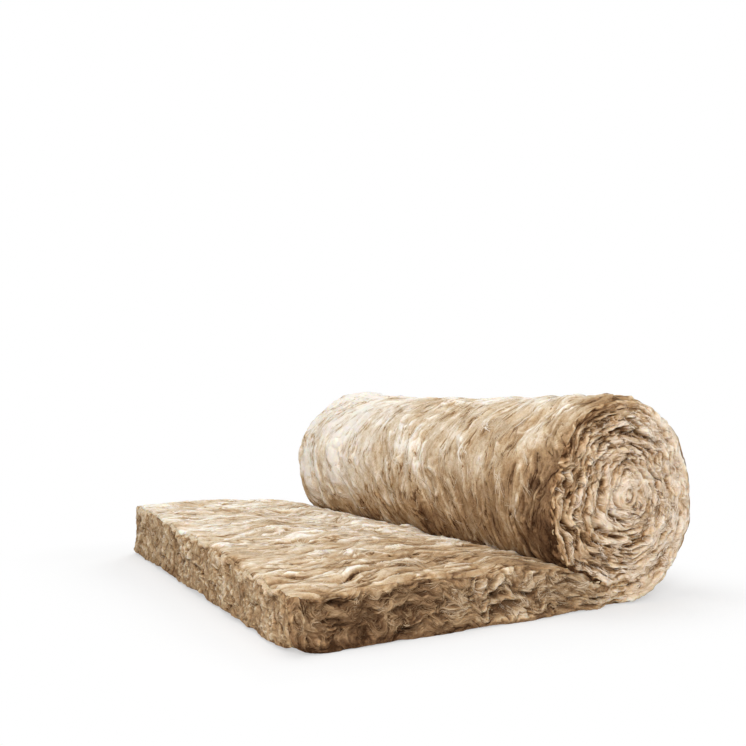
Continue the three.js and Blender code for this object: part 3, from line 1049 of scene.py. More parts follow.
def comb_side(pixel, seed):
    fleece = Fleece((CUT_X, RIGHT_X), (0, 2 * ROLL_RADIUS), pixel, side_grain)
    u, v = fleece.grid()
    rolled = rolledness(u, v)
    loose = (1 - rolled) * (1 - 0.4 * step_up(u, NIP_X - 0.2, NIP_X))
    contrast = tone_side(fleece, seed)
    raise_curls(fleece, seed, rolled, loose)
    open_gaps(fleece, seed)
    hang_lip(fleece, seed, rolled)
    lumps = [(0.09, 0.003 + 0.004 * rolled, seed + 10), (0.04, 0.004, seed + 11)]
    finish_fleece(fleece, contrast, lumps, level=50)
    tread_down(fleece, seed, loose)
    recess = part_turns(fleece, seed)
    print("map of a side", recess.shape, f"deepest groove {recess.max():.3f}")
    return fleece


near_fleece = comb_side(0.0012, 100)
far_fleece = comb_side(0.0020, 200)
# The far side is painted paler, as light, because the lamps reach it less.
far_fleece.layers["tone"] += 0.06

# %% [markdown]
# ## From a map to a mesh
#
# A face is a regular grid, with each vertex pushed out by the height of its map. A displace
# modifier on a subdivided plane does the same, but it can't tell a seam from open wool. The
# map's other layers go onto the mesh as attributes, where the material finds them. The last
# row along each border is tucked in under the neighbouring face. What would go through the
# floor is pressed flat against it.

# %% Mesh helpers
def grid_faces(rows, columns):
    corner = np.arange(rows * columns).reshape(rows, columns)
    return np.stack(
        [corner[:-1, :-1], corner[1:, :-1], corner[1:, 1:], corner[:-1, 1:]], axis=-1
    ).reshape(-1, 4)


def make_mesh(name, points, faces, uv, attributes):
    mesh = bpy.data.meshes.new(name)
    points[:, 2] = np.maximum(points[:, 2], FLOOR_Z)
    mesh.from_pydata(points.tolist(), [], faces.tolist())
    layer = mesh.uv_layers.new(name="OFBake")
    layer.data.foreach_set("uv", uv[faces.ravel()].astype(np.float32).ravel())
    for key, values in attributes.items():
        kind, field = ("FLOAT", "value") if values.ndim == 1 else ("FLOAT_VECTOR", "vector")
        data = mesh.attributes.new(key, kind, "POINT").data
        data.foreach_set(field, values.astype(np.float32).ravel())
    mesh.shade_smooth()
    piece = bpy.data.objects.new(name, mesh)
    bpy.context.scene.collection.objects.link(piece)
    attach(piece, "root")
    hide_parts(MAT)
    print(name, len(mesh.polygons), "faces")
    return piece


# %% [markdown]
# Two faces that meet have maps of their own, and their heights don't agree at the seam. So
# the height of the map fades out there, and lumps that depend on the place alone take over.
# The lower edges come off the floor here and there, and the near corner lost its point.

# %% Wool on a form
TUCK = 0.008
SEAM_SINK = 0.003
SEAM_LUMPS = ((0.05, 0.005, 401), (0.018, 0.003, 402), (0.008, 0.0015, 403))
LIFTED_EDGE = ((0.06, 0.006, 405), (0.022, 0.003, 406))
WORN_POINT = (0.010, 0.010, 0.008)  # how far the near corner's tip has moved in and up


def seam_height(points):
    """Lumps that depend only on the place, so that faces which meet have them in common"""
    return sum(
        reach * lattice_noise(tuple((points / size).T), seed) for size, reach, seed in SEAM_LUMPS
    )


def worn_corner(points):
    """Lifts the lower edges off the floor in places, and wears the near corner down"""
    x, y, z = points.T
    dx, dy = x - cut_x(y), y - NEAR_Y
    corner = bell(np.hypot(dx, dy), 0, 0.04) * np.clip(1 - z / 0.05, 0, 1)
    edge = bell(np.minimum(np.abs(dx), np.abs(dy)), 0, 0.010) * np.clip(1 - z / 0.03, 0, 1)
    lifted = edge * np.maximum(wander(x, y, *LIFTED_EDGE), 0)
    points = points + corner[:, None] * np.array(WORN_POINT)
    points[:, 2] += lifted
    return points


def on_wool(form, fleece, u, v):
    """The places on the wool's surface, and the directions out of it"""
    points, normals, edge = form(u, v)
    points = worn_corner(points)
    own = step_up(edge, 0.001, 0.012)
    height = fleece.sample("height", u, v) * own + seam_height(points) * (1 - own)
    height = height - SEAM_SINK * (1 - step_up(edge, HALFWAY, 0.3 * ROUNDING))
    return points + normals * height[:, None], normals


# %% Faces
def fleece_attributes(fleece, u, v, tuck):
    """tuck is added to the grain, so that the material isn't stretched over a tucked row."""
    return {
        "tone": fleece.sample("tone", u, v),
        "warmth": fleece.sample("warmth", u, v),
        "grain": np.stack([u, v, fleece.sample("grain", u, v) + tuck], axis=-1),
    }


def make_face(name, form, fleece, step, insets=(0, 0, 0, 0), flipped=False):
    """insets are how far the mesh stays inside the map: at both ends of u, then of v."""
    (u0, u1), (v0, v1) = fleece.u_range, fleece.v_range
    u0, u1, v0, v1 = u0 + insets[0], u1 - insets[1], v0 + insets[2], v1 - insets[3]
    rows, columns = int((u1 - u0) / step) + 1, int((v1 - v0) / step) + 1
    u, v = np.meshgrid(np.linspace(u0, u1, rows), np.linspace(v0, v1, columns), indexing="ij")
    border = np.zeros((rows, columns))
    border[[0, -1], :] = border[:, [0, -1]] = TUCK
    u, v, border = u.ravel(), v.ravel(), border.ravel()
    points, normals = on_wool(form, fleece, u, v)
    points = points - normals * border[:, None]
    faces = grid_faces(rows, columns)
    if flipped:
        faces = faces[:, ::-1]
    uv = np.stack([u - u0, v - v0], axis=-1) / max(u1 - u0, v1 - v0)
    return make_mesh(name, points, faces, uv, fleece_attributes(fleece, u, v, border))


roll_outside = make_face("roll_outside", roll_form, roll_fleece, 0.0040, (0, 0, HALFWAY, HALFWAY))
tail_top = make_face("tail_top", tail_form, tail_fleece, 0.0036, (HALFWAY, 0, HALFWAY, HALFWAY))
cut_insets = (HALFWAY, HALFWAY, 0, HALFWAY)
cut_end = make_face("cut_end", cut_form, cut_fleece, 0.0021, cut_insets, flipped=True)

# %% [markdown]
# The underside is wool that lies on the floor. It can't be seen, but without it the mat would
# be an open shell. A single flat quad would do, but the rest of the mat is wool to its
# borders, so this is a grid like the others, flat and plain.

# %% Underside
underside_fleece = Fleece((0, AXIS_X + 0.05 - CUT_X), (NEAR_Y, FAR_Y), 0.004, lambda u, v: v)
u, v = underside_fleece.grid()
underside_fleece.layers["tone"] += 0.45 + wander(u, v, (0.08, 0.10, 91), (0.03, 0.06, 92))
underside_insets = (ROUNDING, CUT_SKEW, 0, 0)
underside = make_face(
    "underside", underside_form, underside_fleece, 0.012, underside_insets, flipped=True
)

# %% [markdown]
# ## The sides as meshes
#
# A side is an odd shape: a long low strip that runs into a disc. One square grid would have
# to be trimmed along a curve. So a side is made of two grids in one mesh: rows of points from
# the floor to the top of the tail, and rings of points from the roll's axis to its outline,
# which winds inwards with the spiral.

# %% Grids of a side
def tail_grid(step):
    """Rows of places up the side of the tail, and which of them are tucked in"""
    columns, rows = int((AXIS_X - CUT_X) / step), int(NEAR_THICKNESS / step)
    x = np.linspace(CUT_X + HALFWAY, AXIS_X, columns)
    top = tail_top_at(x) - HALFWAY * (x < NIP_X)
    height = top[:, None] * np.linspace(0, 1, rows)
    tuck = np.zeros((columns, rows))
    tuck[0, :] = tuck[:, -1] = TUCK
    return np.stack([np.repeat(x, rows), height.ravel()], axis=-1), tuck


def disc_grid(step):
    """Rings of places on the end of the roll, and which of them are tucked in"""
    sectors, rings = int(FULL_CIRCLE * ROLL_RADIUS / step), int(ROLL_RADIUS / step)
    angle = np.linspace(0, FULL_CIRCLE, sectors)
    outline = AXIS_Z - TURN * angle / FULL_CIRCLE - HALFWAY * (angle < NIP_TURN)
    radius = outline[:, None] * np.linspace(0.001, 1, rings)
    x, z = round_axis(angle[:, None], radius)
    tuck = np.zeros((sectors, rings))
    tuck[:, -1] = TUCK
    return np.stack([x.ravel(), z.ravel()], axis=-1), tuck


def last_row(tuck, first):
    """The numbers of the points at the end of each of a grid's rows"""
    rows, length = tuck.shape
    return first + np.arange(rows) * length + length - 1


SIDE_STEPS = {"near": 0.0022, "far": 0.0034}
for side, step in SIDE_STEPS.items():
    print(side, "side: tail", tail_grid(step)[1].shape, "and disc", disc_grid(step)[1].shape)

# %% [markdown]
# Next to the nip the tail and the roll have sharp edges, and a side's border would stand
# free of them. There its last rows are pulled in to just below the wool of the face beyond.

# %% Closing the nip
PULLED_BELOW = 0.002


def pull_under(points, row, share, form, fleece, u, v):
    """Moves a row, by its share, to just below the wool of the face that it meets"""
    below, normals = on_wool(form, fleece, u, v)
    points[row] += (below - PULLED_BELOW * normals - points[row]) * share[:, None]


def close_nip(points, top_row, outline_row, y):
    """Pulls the ends of the tail's rows below its top, and those of the roll's below it"""
    x, start = points[top_row, 0], cut_x(y)
    along = (x - start) / (TAIL_END - start) * TAIL_LENGTH
    share = step_up(x, NIP_X - 0.10, NIP_X - 0.07) * (1 - step_up(x, NIP_X - 0.01, NIP_X))
    pull_under(points, top_row, share, tail_form, tail_fleece, along, y + 0 * x)
    angle = np.linspace(0, FULL_CIRCLE, len(outline_row))
    share = step_up(angle, 4.3, 4.6) * (1 - step_up(angle, NIP_TURN - 0.05, NIP_TURN + 0.05))
    around = angle * ROLL_RADIUS
    pull_under(points, outline_row, share, roll_form, roll_fleece, around, y + 0 * angle)


# %% Sides
EDGE_INSET = 0.010  # how far in from the mat's edge the pulled rows find their wool


def make_side(name, form, fleece, step, edge_y, flipped):
    (tail, tail_tuck), (disc, disc_tuck) = tail_grid(step), disc_grid(step)
    u, v = np.concatenate([tail, disc]).T
    tuck = np.concatenate([tail_tuck.ravel(), disc_tuck.ravel()])
    points, normals = on_wool(form, fleece, u, v)
    points = points - normals * tuck[:, None]
    close_nip(points, last_row(tail_tuck, 0), last_row(disc_tuck, len(tail)), edge_y)
    disc_faces = grid_faces(*disc_tuck.shape) + len(tail)
    faces = np.concatenate([grid_faces(*tail_tuck.shape), disc_faces])
    if flipped:
        faces = faces[:, ::-1]
    uv = np.stack([u - CUT_X, v], axis=-1) / (RIGHT_X - CUT_X)
    return make_mesh(name, points, faces, uv, fleece_attributes(fleece, u, v, tuck))


near_edge, far_edge = NEAR_Y + EDGE_INSET, FAR_Y - EDGE_INSET
near_side = make_side("near_side", near_form, near_fleece, SIDE_STEPS["near"], near_edge, flipped=False)
far_side = make_side("far_side", far_form, far_fleece, SIDE_STEPS["far"], far_edge, flipped=True)

# %% [markdown]
# ## Loose fibres
#
# Over the wool lie single wisps that catch the light one by one. Blender's hair curves would
# be the usual way, but not every program reads them. So each wisp is a narrow ribbon of mesh,
# which starts on the wool, follows the grain with a stray of its own, and lifts a few
# millimetres off the surface. Wisps lie in small bunches, as fibres that were pulled out
# together do. Those that would leave the map are left out.

# %% Paths of the wisps
FIBRE_STEPS = 5
ROOT_DEPTH = 0.001  # how far below the wool's surface a wisp starts and ends


def walk(form, fleece, u, v, total, off, curl, rise, keep):
    """Leads wisps along the grain, each off it by its own angle. It gives their points, the
    directions out of the wool there, and which of them stayed where keep allows."""
    inside, centres, normals = np.ones(len(u), bool), [], []
    for k in range(FIBRE_STEPS + 1):
        points, normal = on_wool(form, fleece, u, v)
        lifted = rise * math.sin(math.pi * k / FIBRE_STEPS) - ROOT_DEPTH
        centres.append(points + normal * lifted[:, None])
        normals.append(normal)
        inside &= keep(u, v)
        run_u, run_v = fleece.sample("run_u", u, v), fleece.sample("run_v", u, v)
        heading = np.arctan2(run_v, run_u) + off
        off = off + curl * total / FIBRE_STEPS
        u = u + np.cos(heading) * total / FIBRE_STEPS
        v = v + np.sin(heading) * total / FIBRE_STEPS
    return np.stack(centres, axis=1)[inside], np.stack(normals, axis=1)[inside], inside


def ribbons(centres, normals, wide, twist):
    """The points and faces of a ribbon for each wisp, which narrows to both of its ends"""
    tangents = unit(np.gradient(centres, axis=1) + 1e-9)
    side = unit(np.cross(normals, tangents))
    side = side * np.cos(twist)[:, None, None] + normals * np.sin(twist)[:, None, None]
    share = np.linspace(0, 1, FIBRE_STEPS + 1)
    half = wide[:, None] / 2 * (0.12 + np.sin(np.pi * share) ** 0.8)
    pair = np.stack([centres - side * half[..., None], centres + side * half[..., None]], axis=2)
    wisps = np.arange(len(centres))[:, None]
    first = (wisps * (FIBRE_STEPS + 1) + np.arange(FIBRE_STEPS)).ravel() * 2
    return pair.reshape(-1, 3), np.stack([first, first + 1, first + 3, first + 2], axis=-1)


# %% Bunches of wisps
BUNCH = 5
BUNCH_SPREAD = 0.0015
CORNERS = 2 * (FIBRE_STEPS + 1)  # the points of one ribbon


def lay_fibres(name, form, fleece, keep, seed, wisps, length, breadth, lift, stray, paler):
    """Lays bunches at random places. stray is how far they turn off the grain, and paler how
    much paler than the wool they are."""
    rng = np.random.default_rng(seed)
    count = wisps * BUNCH

    def bunched(values, spread):
        return np.repeat(values, BUNCH) + rng.normal(0, spread, count)

    u = rng.uniform(*fleece.u_range, wisps)
    v = rng.uniform(*fleece.v_range, wisps)
    tone = bunched(fleece.sample("tone", u, v) + rng.normal(paler, 0.09, wisps), 0.04)
    tone, warmth = np.clip(tone, 0, 1), np.repeat(fleece.sample("warmth", u, v), BUNCH)
    u, v = bunched(u, BUNCH_SPREAD), bunched(v, BUNCH_SPREAD)
    total = bunched(rng.uniform(*length, wisps), 0.1 * length[0])
    wide = rng.uniform(*breadth, count)
    off = bunched(rng.normal(0, stray, wisps), 0.3 * stray)
    curl = bunched(rng.normal(0, 90 * stray, wisps), 20 * stray)
    rise = bunched(rng.uniform(*lift, wisps), 0.1 * lift[1])
    twist = rng.uniform(-0.35, 0.35, count)
    centres, normals, inside = walk(form, fleece, u, v, total, off, curl, rise, keep)
    points, faces = ribbons(centres, normals, wide[inside], twist[inside])
    colours = {"tone": tone[inside], "warmth": warmth[inside]}
    attributes = {key: np.repeat(values, CORNERS) for key, values in colours.items()}
    along = np.tile(np.repeat(np.linspace(0, 1, FIBRE_STEPS + 1), 2), len(centres))
    uv = np.stack([attributes["tone"], along], axis=-1)
    return make_mesh(name, points, faces, uv, attributes)


# %% [markdown]
# Wisps are longest on the combed faces and shortest on the chopped ones. The borders are
# kept free of them, so that none hangs in the air beyond an edge.

# %% Loose fibres
EDGE_GAP = 0.012


def between_edges(y):
    return (y > NEAR_Y + EDGE_GAP) & (y < FAR_Y - EDGE_GAP)


def on_roll(u, v):
    return (u > ROLL_SPAN[0]) & between_edges(v)


def on_tail(u, v):
    return (u > 0.010) & between_edges(v)


def on_cut(u, v):
    return (u > EDGE_GAP) & (u < WIDTH - EDGE_GAP) & (v > 0.01) & (v < CUT_HEIGHT - 0.01)


def on_side(u, v):
    winding = turn_number(u, v) > 0.25
    below_top = (v < tail_top_at(u) - 0.008) & (v > 0.008)
    return winding | ((u < AXIS_X) & (u > CUT_X + 0.01) & below_top)


roll_fibres = lay_fibres(
    "roll_fibres", roll_form, roll_fleece, on_roll, seed=301, wisps=1800,
    length=(0.03, 0.10), breadth=(0.0005, 0.0011), lift=(0, 0.002), stray=0.2, paler=0.06,
)
tail_fibres = lay_fibres(
    "tail_fibres", tail_form, tail_fleece, on_tail, seed=302, wisps=1400,
    length=(0.03, 0.10), breadth=(0.0005, 0.0011), lift=(0, 0.002), stray=0.15, paler=0.06,
)
cut_fibres = lay_fibres(
    "cut_fibres", cut_form, cut_fleece, on_cut, seed=303, wisps=1000,
    length=(0.01, 0.03), breadth=(0.0004, 0.0009), lift=(0, 0.004), stray=0.6, paler=0.03,
)
side_fibres = lay_fibres(
    "side_fibres", near_form, near_fleece, on_side, seed=304, wisps=6200,
    length=(0.012, 0.04), breadth=(0.0005, 0.0010), lift=(0, 0.006), stray=0.4, paler=0.04,
)
far_fibres = lay_fibres(
    "far_fibres", far_form, far_fleece, on_side, seed=305, wisps=1400,
    length=(0.012, 0.05), breadth=(0.0007, 0.0014), lift=(0, 0.004), stray=0.4, paler=0.02,
)

# %% [markdown]
# ## Node groups
#
# All the wool is one stuff, so its materials share their effects. A node group is built once,
# and each material places it with values of its own. Copying the nodes into every material
# would look the same, but then a change would have to be made in all of them.

# %% Node helpers
def feed(tree, socket, value):
    """Links a socket to the socket, or else sets it to the value"""
    if isinstance(value, bpy.types.NodeSocket):
        tree.links.new(value, socket)
    else:
        socket.default_value = value


def new_group(name, inputs, outputs):
    group = bpy.data.node_groups.new(name, "ShaderNodeTree")
    for label, kind, default in inputs:
        socket = group.interface.new_socket(label, in_out="INPUT", socket_type=kind)
        if default is not None:
            socket.default_value = default
    for label, kind in outputs:
        group.interface.new_socket(label, in_out="OUTPUT", socket_type=kind)
    print("group", name, [item.name for item in group.interface.items_tree])
    return group, group.nodes.new("NodeGroupInput"), group.nodes.new("NodeGroupOutput")


def math_node(tree, operation, *values, clamp=False):
    node = tree.nodes.new("ShaderNodeMath")
    node.operation, node.use_clamp = operation, clamp
    for socket, value in zip(node.inputs, values):
        feed(tree, socket, value)
    return node.outputs[0]


def centred_noise(tree, place, scale, detail, distortion):
    """A noise less its middle value, so that it is 0 along lines that wander"""
    noise = tree.nodes.new("ShaderNodeTexNoise")
    noise.inputs["Detail"].default_value = detail
    noise.inputs["Distortion"].default_value = distortion
    feed(tree, noise.inputs["Vector"], place)
    feed(tree, noise.inputs["Scale"], scale)
    return math_node(tree, "SUBTRACT", noise.outputs["Fac"], 0.5)


# %% [markdown]
# ## Fibre streaks, as a node group
#
# Single fibres are far finer than the mesh, so a material draws them. A stretched image
# could do it, but the grain bends. The group takes the place on the map and the grain there,
# which the mesh carries, and draws a noise out along the grain.

# %% Fibre streaks group
def along_grain(tree, given, breadth):
    """The place on the map in locks: one breadth across the grain, and Stretch of them along"""
    split = tree.nodes.new("ShaderNodeSeparateXYZ")
    tree.links.new(given.outputs["Grain"], split.inputs[0])
    place = tree.nodes.new("ShaderNodeCombineXYZ")
    length = math_node(tree, "MULTIPLY", breadth, given.outputs["Stretch"])
    for axis, size in enumerate((length, length, breadth)):
        tree.links.new(math_node(tree, "DIVIDE", split.outputs[axis], size), place.inputs[axis])
    return place.outputs[0]


def make_streaks_group():
    tree, given, result = new_group(
        "Fibre streaks",
        [
            ("Grain", "NodeSocketVector", None),
            ("Width", "NodeSocketFloat", 0.002),
            ("Stretch", "NodeSocketFloat", 10.0),
        ],
        [("Streaks", "NodeSocketFloat")],
    )
    place = along_grain(tree, given, given.outputs["Width"])
    streaks = centred_noise(tree, place, scale=1.0, detail=2.0, distortion=0.8)
    tree.links.new(streaks, result.inputs["Streaks"])
    return tree


streaks_group = make_streaks_group()

# %% [markdown]
# ## Partings, as a node group
#
# Here and there the locks part, and the gap between them lies in shade. Slits in the mesh show
# the deep ones, and for the rest a thin dark line of painted shade is enough. It runs where a
# noise that is drawn out along the grain crosses its middle value, but only in patches.

# %% Partings group
PARTING_SLENDERNESS = 18.0
PATCH_CONTRAST = 8.0


def make_partings_group():
    tree, given, result = new_group(
        "Partings",
        [
            ("Grain", "NodeSocketVector", None),
            ("Spacing", "NodeSocketFloat", 0.014),
            ("Stretch", "NodeSocketFloat", 5.0),
        ],
        [("Partings", "NodeSocketFloat")],
    )
    place = along_grain(tree, given, given.outputs["Spacing"])
    gaps = centred_noise(tree, place, scale=1.0, detail=2.0, distortion=0.4)
    patches = centred_noise(tree, place, scale=0.7, detail=0.0, distortion=0.4)
    off_line = math_node(tree, "MULTIPLY", math_node(tree, "ABSOLUTE", gaps), PARTING_SLENDERNESS)
    line = math_node(tree, "SUBTRACT", 1.0, off_line, clamp=True)
    shown = math_node(tree, "MULTIPLY", patches, PATCH_CONTRAST, clamp=True)
    tree.links.new(math_node(tree, "MULTIPLY", line, shown), result.inputs["Partings"])
    return tree


partings_group = make_partings_group()

# %% [markdown]
# ## Tangled fibres, as a node group
#
# Where the wool was cut, fibres curl every way. Curves on the surface would show them too,
# at a great cost in points. Here a line appears wherever a noise crosses its middle value,
# and such lines wander and loop as cut fibres do. Two sets of them cross each other.

# %% Tangle group
TANGLE_SLENDERNESS = 9.0
TANGLE_SHIFTS = ((0.0, 0.0, 0.0), (3.7, 7.4, 11.1))


def make_tangle_group():
    inputs = [("Size", "NodeSocketFloat", 0.008)]
    tree, given, result = new_group("Fibre tangle", inputs, [("Tangle", "NodeSocketFloat")])
    place = tree.nodes.new("ShaderNodeTexCoord").outputs["Object"]
    scale = math_node(tree, "DIVIDE", 1.0, given.outputs["Size"])
    lines = []
    for offset in TANGLE_SHIFTS:
        shift = tree.nodes.new("ShaderNodeVectorMath")
        shift.operation = "ADD"
        shift.inputs[1].default_value = offset
        tree.links.new(place, shift.inputs[0])
        noise = centred_noise(tree, shift.outputs[0], scale, detail=1.0, distortion=0.8)
        off_line = math_node(tree, "ABSOLUTE", noise)
        off_line = math_node(tree, "MULTIPLY", off_line, TANGLE_SLENDERNESS)
        lines.append(math_node(tree, "SUBTRACT", 1.0, off_line, clamp=True))
    tree.links.new(math_node(tree, "MAXIMUM", *lines), result.inputs["Tangle"])
    return tree


tangle_group = make_tangle_group()

# %% [markdown]
# ## The colour of glass wool, as a node group
#
# The binder makes the wool tan, and the fibres scatter light, so what stands proud is pale
# cream and what lies deep is brown. The colour therefore comes from one number, how pale a
# point is, by way of a colour ramp. The materials work it out from the tone on the mesh, into
# which the depth was mixed. Warmth makes the same colour a little redder, as it is where the
# turns of the roll are cut across, and in the painted shade down the roll's flank.

# %% Wool colour group
WOOL_TONES = [
    (0.0, (0.050, 0.022, 0.009)),
    (0.25, (0.197, 0.111, 0.056)),
    (0.5, (0.425, 0.279, 0.151)),
    (0.75, (0.660, 0.530, 0.378)),
    (1.0, (0.890, 0.825, 0.735)),
]
WARM_TINT = (1.03, 0.965, 0.90, 1)


def make_colour_group():
    inputs = [("Paleness", "NodeSocketFloat", 0.5), ("Warmth", "NodeSocketFloat", 0.0)]
    tree, given, result = new_group("Wool colour", inputs, [("Color", "NodeSocketColor")])
    ramp = tree.nodes.new("ShaderNodeValToRGB")
    stops = ramp.color_ramp.elements
    while len(stops) < len(WOOL_TONES):
        stops.new(0.5)
    for stop, (place, colour) in zip(stops, WOOL_TONES):
        stop.position = place
        stop.color = (*colour, 1)
    tree.links.new(given.outputs["Paleness"], ramp.inputs[0])
    tint = tree.nodes.new("ShaderNodeMixRGB")
    tint.blend_type = "MULTIPLY"
    tint.inputs["Color2"].default_value = WARM_TINT
    tree.links.new(given.outputs["Warmth"], tint.inputs["Fac"])
    tree.links.new(ramp.outputs[0], tint.inputs["Color1"])
    tree.links.new(tint.outputs[0], result.inputs["Color"])
    return tree


colour_group = make_colour_group()

# %% [markdown]
# ## Wool materials
#
# Wool is matt, and light goes up to a centimetre into it and comes out again, redder. A
# volume shader is the truest way to render that, but it is slow, so the Principled shader's
# subsurface part does it. The four materials are the same wool, and differ only in how
# strong their locks, partings and tangles are: combed on the tail, soft on the roll, cut on
# the sides and chopped on the cut end.

# %% Material helpers
def matt_material(name):
    material = bpy.data.materials.new(name)
    material.use_nodes = True
    shader = material.node_tree.nodes["Principled BSDF"]
    shader.inputs["Roughness"].default_value = 1.0
    shader.inputs["Specular IOR Level"].default_value = 0.05
    return material, material.node_tree, shader


def use_group(tree, group, values):
    node = tree.nodes.new("ShaderNodeGroup")
    node.node_tree = group
    for label, value in values.items():
        feed(tree, node.inputs[label], value)
    return node.outputs[0]


def attribute(tree, name, output="Fac"):
    node = tree.nodes.new("ShaderNodeAttribute")
    node.attribute_name = name
    return node.outputs[output]


def weighted(tree, *terms, offset=0.0):
    """offset plus the sum of each socket times its weight"""
    total = offset
    for socket, weight in terms:
        total = math_node(tree, "MULTIPLY_ADD", socket, weight, total)
    return total


def colour_wool(tree, shader, paleness):
    values = {"Paleness": paleness, "Warmth": attribute(tree, "warmth")}
    tree.links.new(use_group(tree, colour_group, values), shader.inputs["Base Color"])


# %% Wool materials
PARTING_SPACING = 0.014


def wool_material(name, lock, width, stretch, parting, tangle, tangle_size, relief, knee=1.0):
    """Wool with locks, single hairs, partings and a tangle, each with its own strength. Above
    its knee the paleness rises at half the rate only."""
    material, tree, shader = matt_material(name)
    shader.inputs["Subsurface Weight"].default_value = 0.6
    shader.inputs["Subsurface Radius"].default_value = (1.0, 0.7, 0.4)
    shader.inputs["Subsurface Scale"].default_value = 0.010
    coarse = {"Grain": attribute(tree, "grain", "Vector"), "Width": width, "Stretch": stretch}
    fine = {**coarse, "Width": 0.4 * width, "Stretch": 2 * stretch}
    spaced = {"Grain": coarse["Grain"], "Spacing": PARTING_SPACING, "Stretch": stretch}
    hairs = use_group(tree, streaks_group, fine)
    locks = use_group(tree, streaks_group, coarse)
    gaps = use_group(tree, partings_group, spaced)
    knots = use_group(tree, tangle_group, {"Size": tangle_size})
    # the partings are painted shade, and the bump sinks them a little too
    marks = (hairs, 0.6 * lock), (locks, lock), (gaps, -parting), (knots, tangle)
    paleness = weighted(tree, (attribute(tree, "tone"), 1.0), *marks, offset=-0.3 * tangle)
    eased = weighted(tree, (paleness, 0.5), offset=0.5 * knee)
    colour_wool(tree, shader, math_node(tree, "MINIMUM", paleness, eased))
    bump = tree.nodes.new("ShaderNodeBump")
    bump.inputs["Distance"].default_value = relief
    bump.inputs["Strength"].default_value = 1.0
    height = weighted(tree, (hairs, 0.5), (locks, 1.0), (gaps, -3 * parting), (knots, tangle))
    tree.links.new(height, bump.inputs["Height"])
    tree.links.new(bump.outputs[0], shader.inputs["Normal"])
    print("material", name, len(tree.nodes), "nodes")
    return material


combed_wool = wool_material(
    "combed_wool", lock=0.12, width=0.005, stretch=4, parting=0.34, tangle=0.10,
    tangle_size=0.009, relief=0.002,
)
soft_wool = wool_material(
    "soft_wool", lock=0.18, width=0.004, stretch=4, parting=0.35, tangle=0.12,
    tangle_size=0.012, relief=0.002,
)
cut_wool = wool_material(
    "cut_wool", lock=0.34, width=0.005, stretch=5, parting=0.25, tangle=0.10,
    tangle_size=0.008, relief=0.003, knee=0.75,
)
chopped_wool = wool_material(
    "chopped_wool", lock=0.30, width=0.003, stretch=3, parting=0.15, tangle=0.14,
    tangle_size=0.006, relief=0.002,
)

# %% [markdown]
# A wisp is too thin to need locks or a subsurface. It takes its colour from the wool that it
# lies on, a little paler, and every piece is then given its material.

# %% Fibre material, and which piece has which
loose_fibre, fibre_tree, fibre_shader = matt_material("loose_fibre")
colour_wool(fibre_tree, fibre_shader, attribute(fibre_tree, "tone"))
MATERIALS = (
    (soft_wool, (roll_outside,)),
    (combed_wool, (tail_top, underside)),
    (cut_wool, (near_side, far_side)),
    (chopped_wool, (cut_end,)),
    (loose_fibre, (roll_fibres, tail_fibres, cut_fibres, side_fibres, far_fibres)),
)
for material, pieces in MATERIALS:
    for piece in pieces:
        piece.data.materials.append(material)
    print(material.name, "on", [piece.name for piece in pieces])

# %% [markdown]
# ## Floor
#
# The object stands on a plain pale floor that keeps its shadow, in a studio where everything
# else is white. A huge white floor would be grey in places, wherever the lamps don't reach.
# So a glow that only the camera sees takes over from the plain floor, half of it next to the
# object and all of it from 0.3 metres away, and the shadow fades out into white.

# %% Floor material
GLOW_FROM, GLOW_DISTANCE = 0.5, 0.3


def distance_outside(tree):
    """How far a point of the floor is outside the object's rectangle"""
    half = ((RIGHT_X - CUT_X) / 2, WIDTH / 2, 0)
    steps = (("ABSOLUTE", None), ("SUBTRACT", half), ("MAXIMUM", (0, 0, 0)), ("LENGTH", None))
    outside = tree.nodes.new("ShaderNodeTexCoord").outputs["Object"]
    for operation, value in steps:
        node = tree.nodes.new("ShaderNodeVectorMath")
        node.operation = operation
        tree.links.new(outside, node.inputs[0])
        if value is not None:
            node.inputs[1].default_value = value
        outside = node.outputs["Value" if operation == "LENGTH" else "Vector"]
    return outside


def floor_material():
    material = bpy.data.materials.new("studio_floor")
    material.use_nodes = True
    tree = material.node_tree
    shader = tree.nodes["Principled BSDF"]
    shader.inputs["Base Color"].default_value = (0.85, 0.85, 0.85, 1)
    shader.inputs["Roughness"].default_value = 0.9
    glow = tree.nodes.new("ShaderNodeEmission")
    glow.inputs["Color"].default_value = (1, 1, 1, 1)
    fade = tree.nodes.new("ShaderNodeMapRange")
    fade.interpolation_type = "SMOOTHSTEP"
    fade.inputs["From Max"].default_value = GLOW_DISTANCE
    fade.inputs["To Min"].default_value = GLOW_FROM
    tree.links.new(distance_outside(tree), fade.inputs["Value"])
    seen = tree.nodes.new("ShaderNodeLightPath").outputs["Is Camera Ray"]
    mix = tree.nodes.new("ShaderNodeMixShader")
    feed(tree, mix.inputs[0], math_node(tree, "MULTIPLY", seen, fade.outputs["Result"]))
    tree.links.new(shader.outputs[0], mix.inputs[1])
    tree.links.new(glow.outputs[0], mix.inputs[2])
    tree.links.new(mix.outputs[0], tree.nodes["Material Output"].inputs["Surface"])
    return material


# %% Floor
FLOOR_REACH = 20
FLOOR_GAP = 0.001  # below the wool, so that the two don't flicker
corners = [(FLOOR_REACH * x, FLOOR_REACH * y, 0) for x, y in ((-1, -1), (1, -1), (1, 1), (-1, 1))]
floor_mesh = bpy.data.meshes.new("floor")
floor_mesh.from_pydata(corners, [], [(0, 1, 2, 3)])
floor_mesh.materials.append(floor_material())
floor = bpy.data.objects.new("floor", floor_mesh)
floor.location.z = FLOOR_Z - FLOOR_GAP
bpy.context.scene.collection.objects.link(floor)
print("floor", 2 * FLOOR_REACH, "metres wide at z", round(floor.location.z, 4))

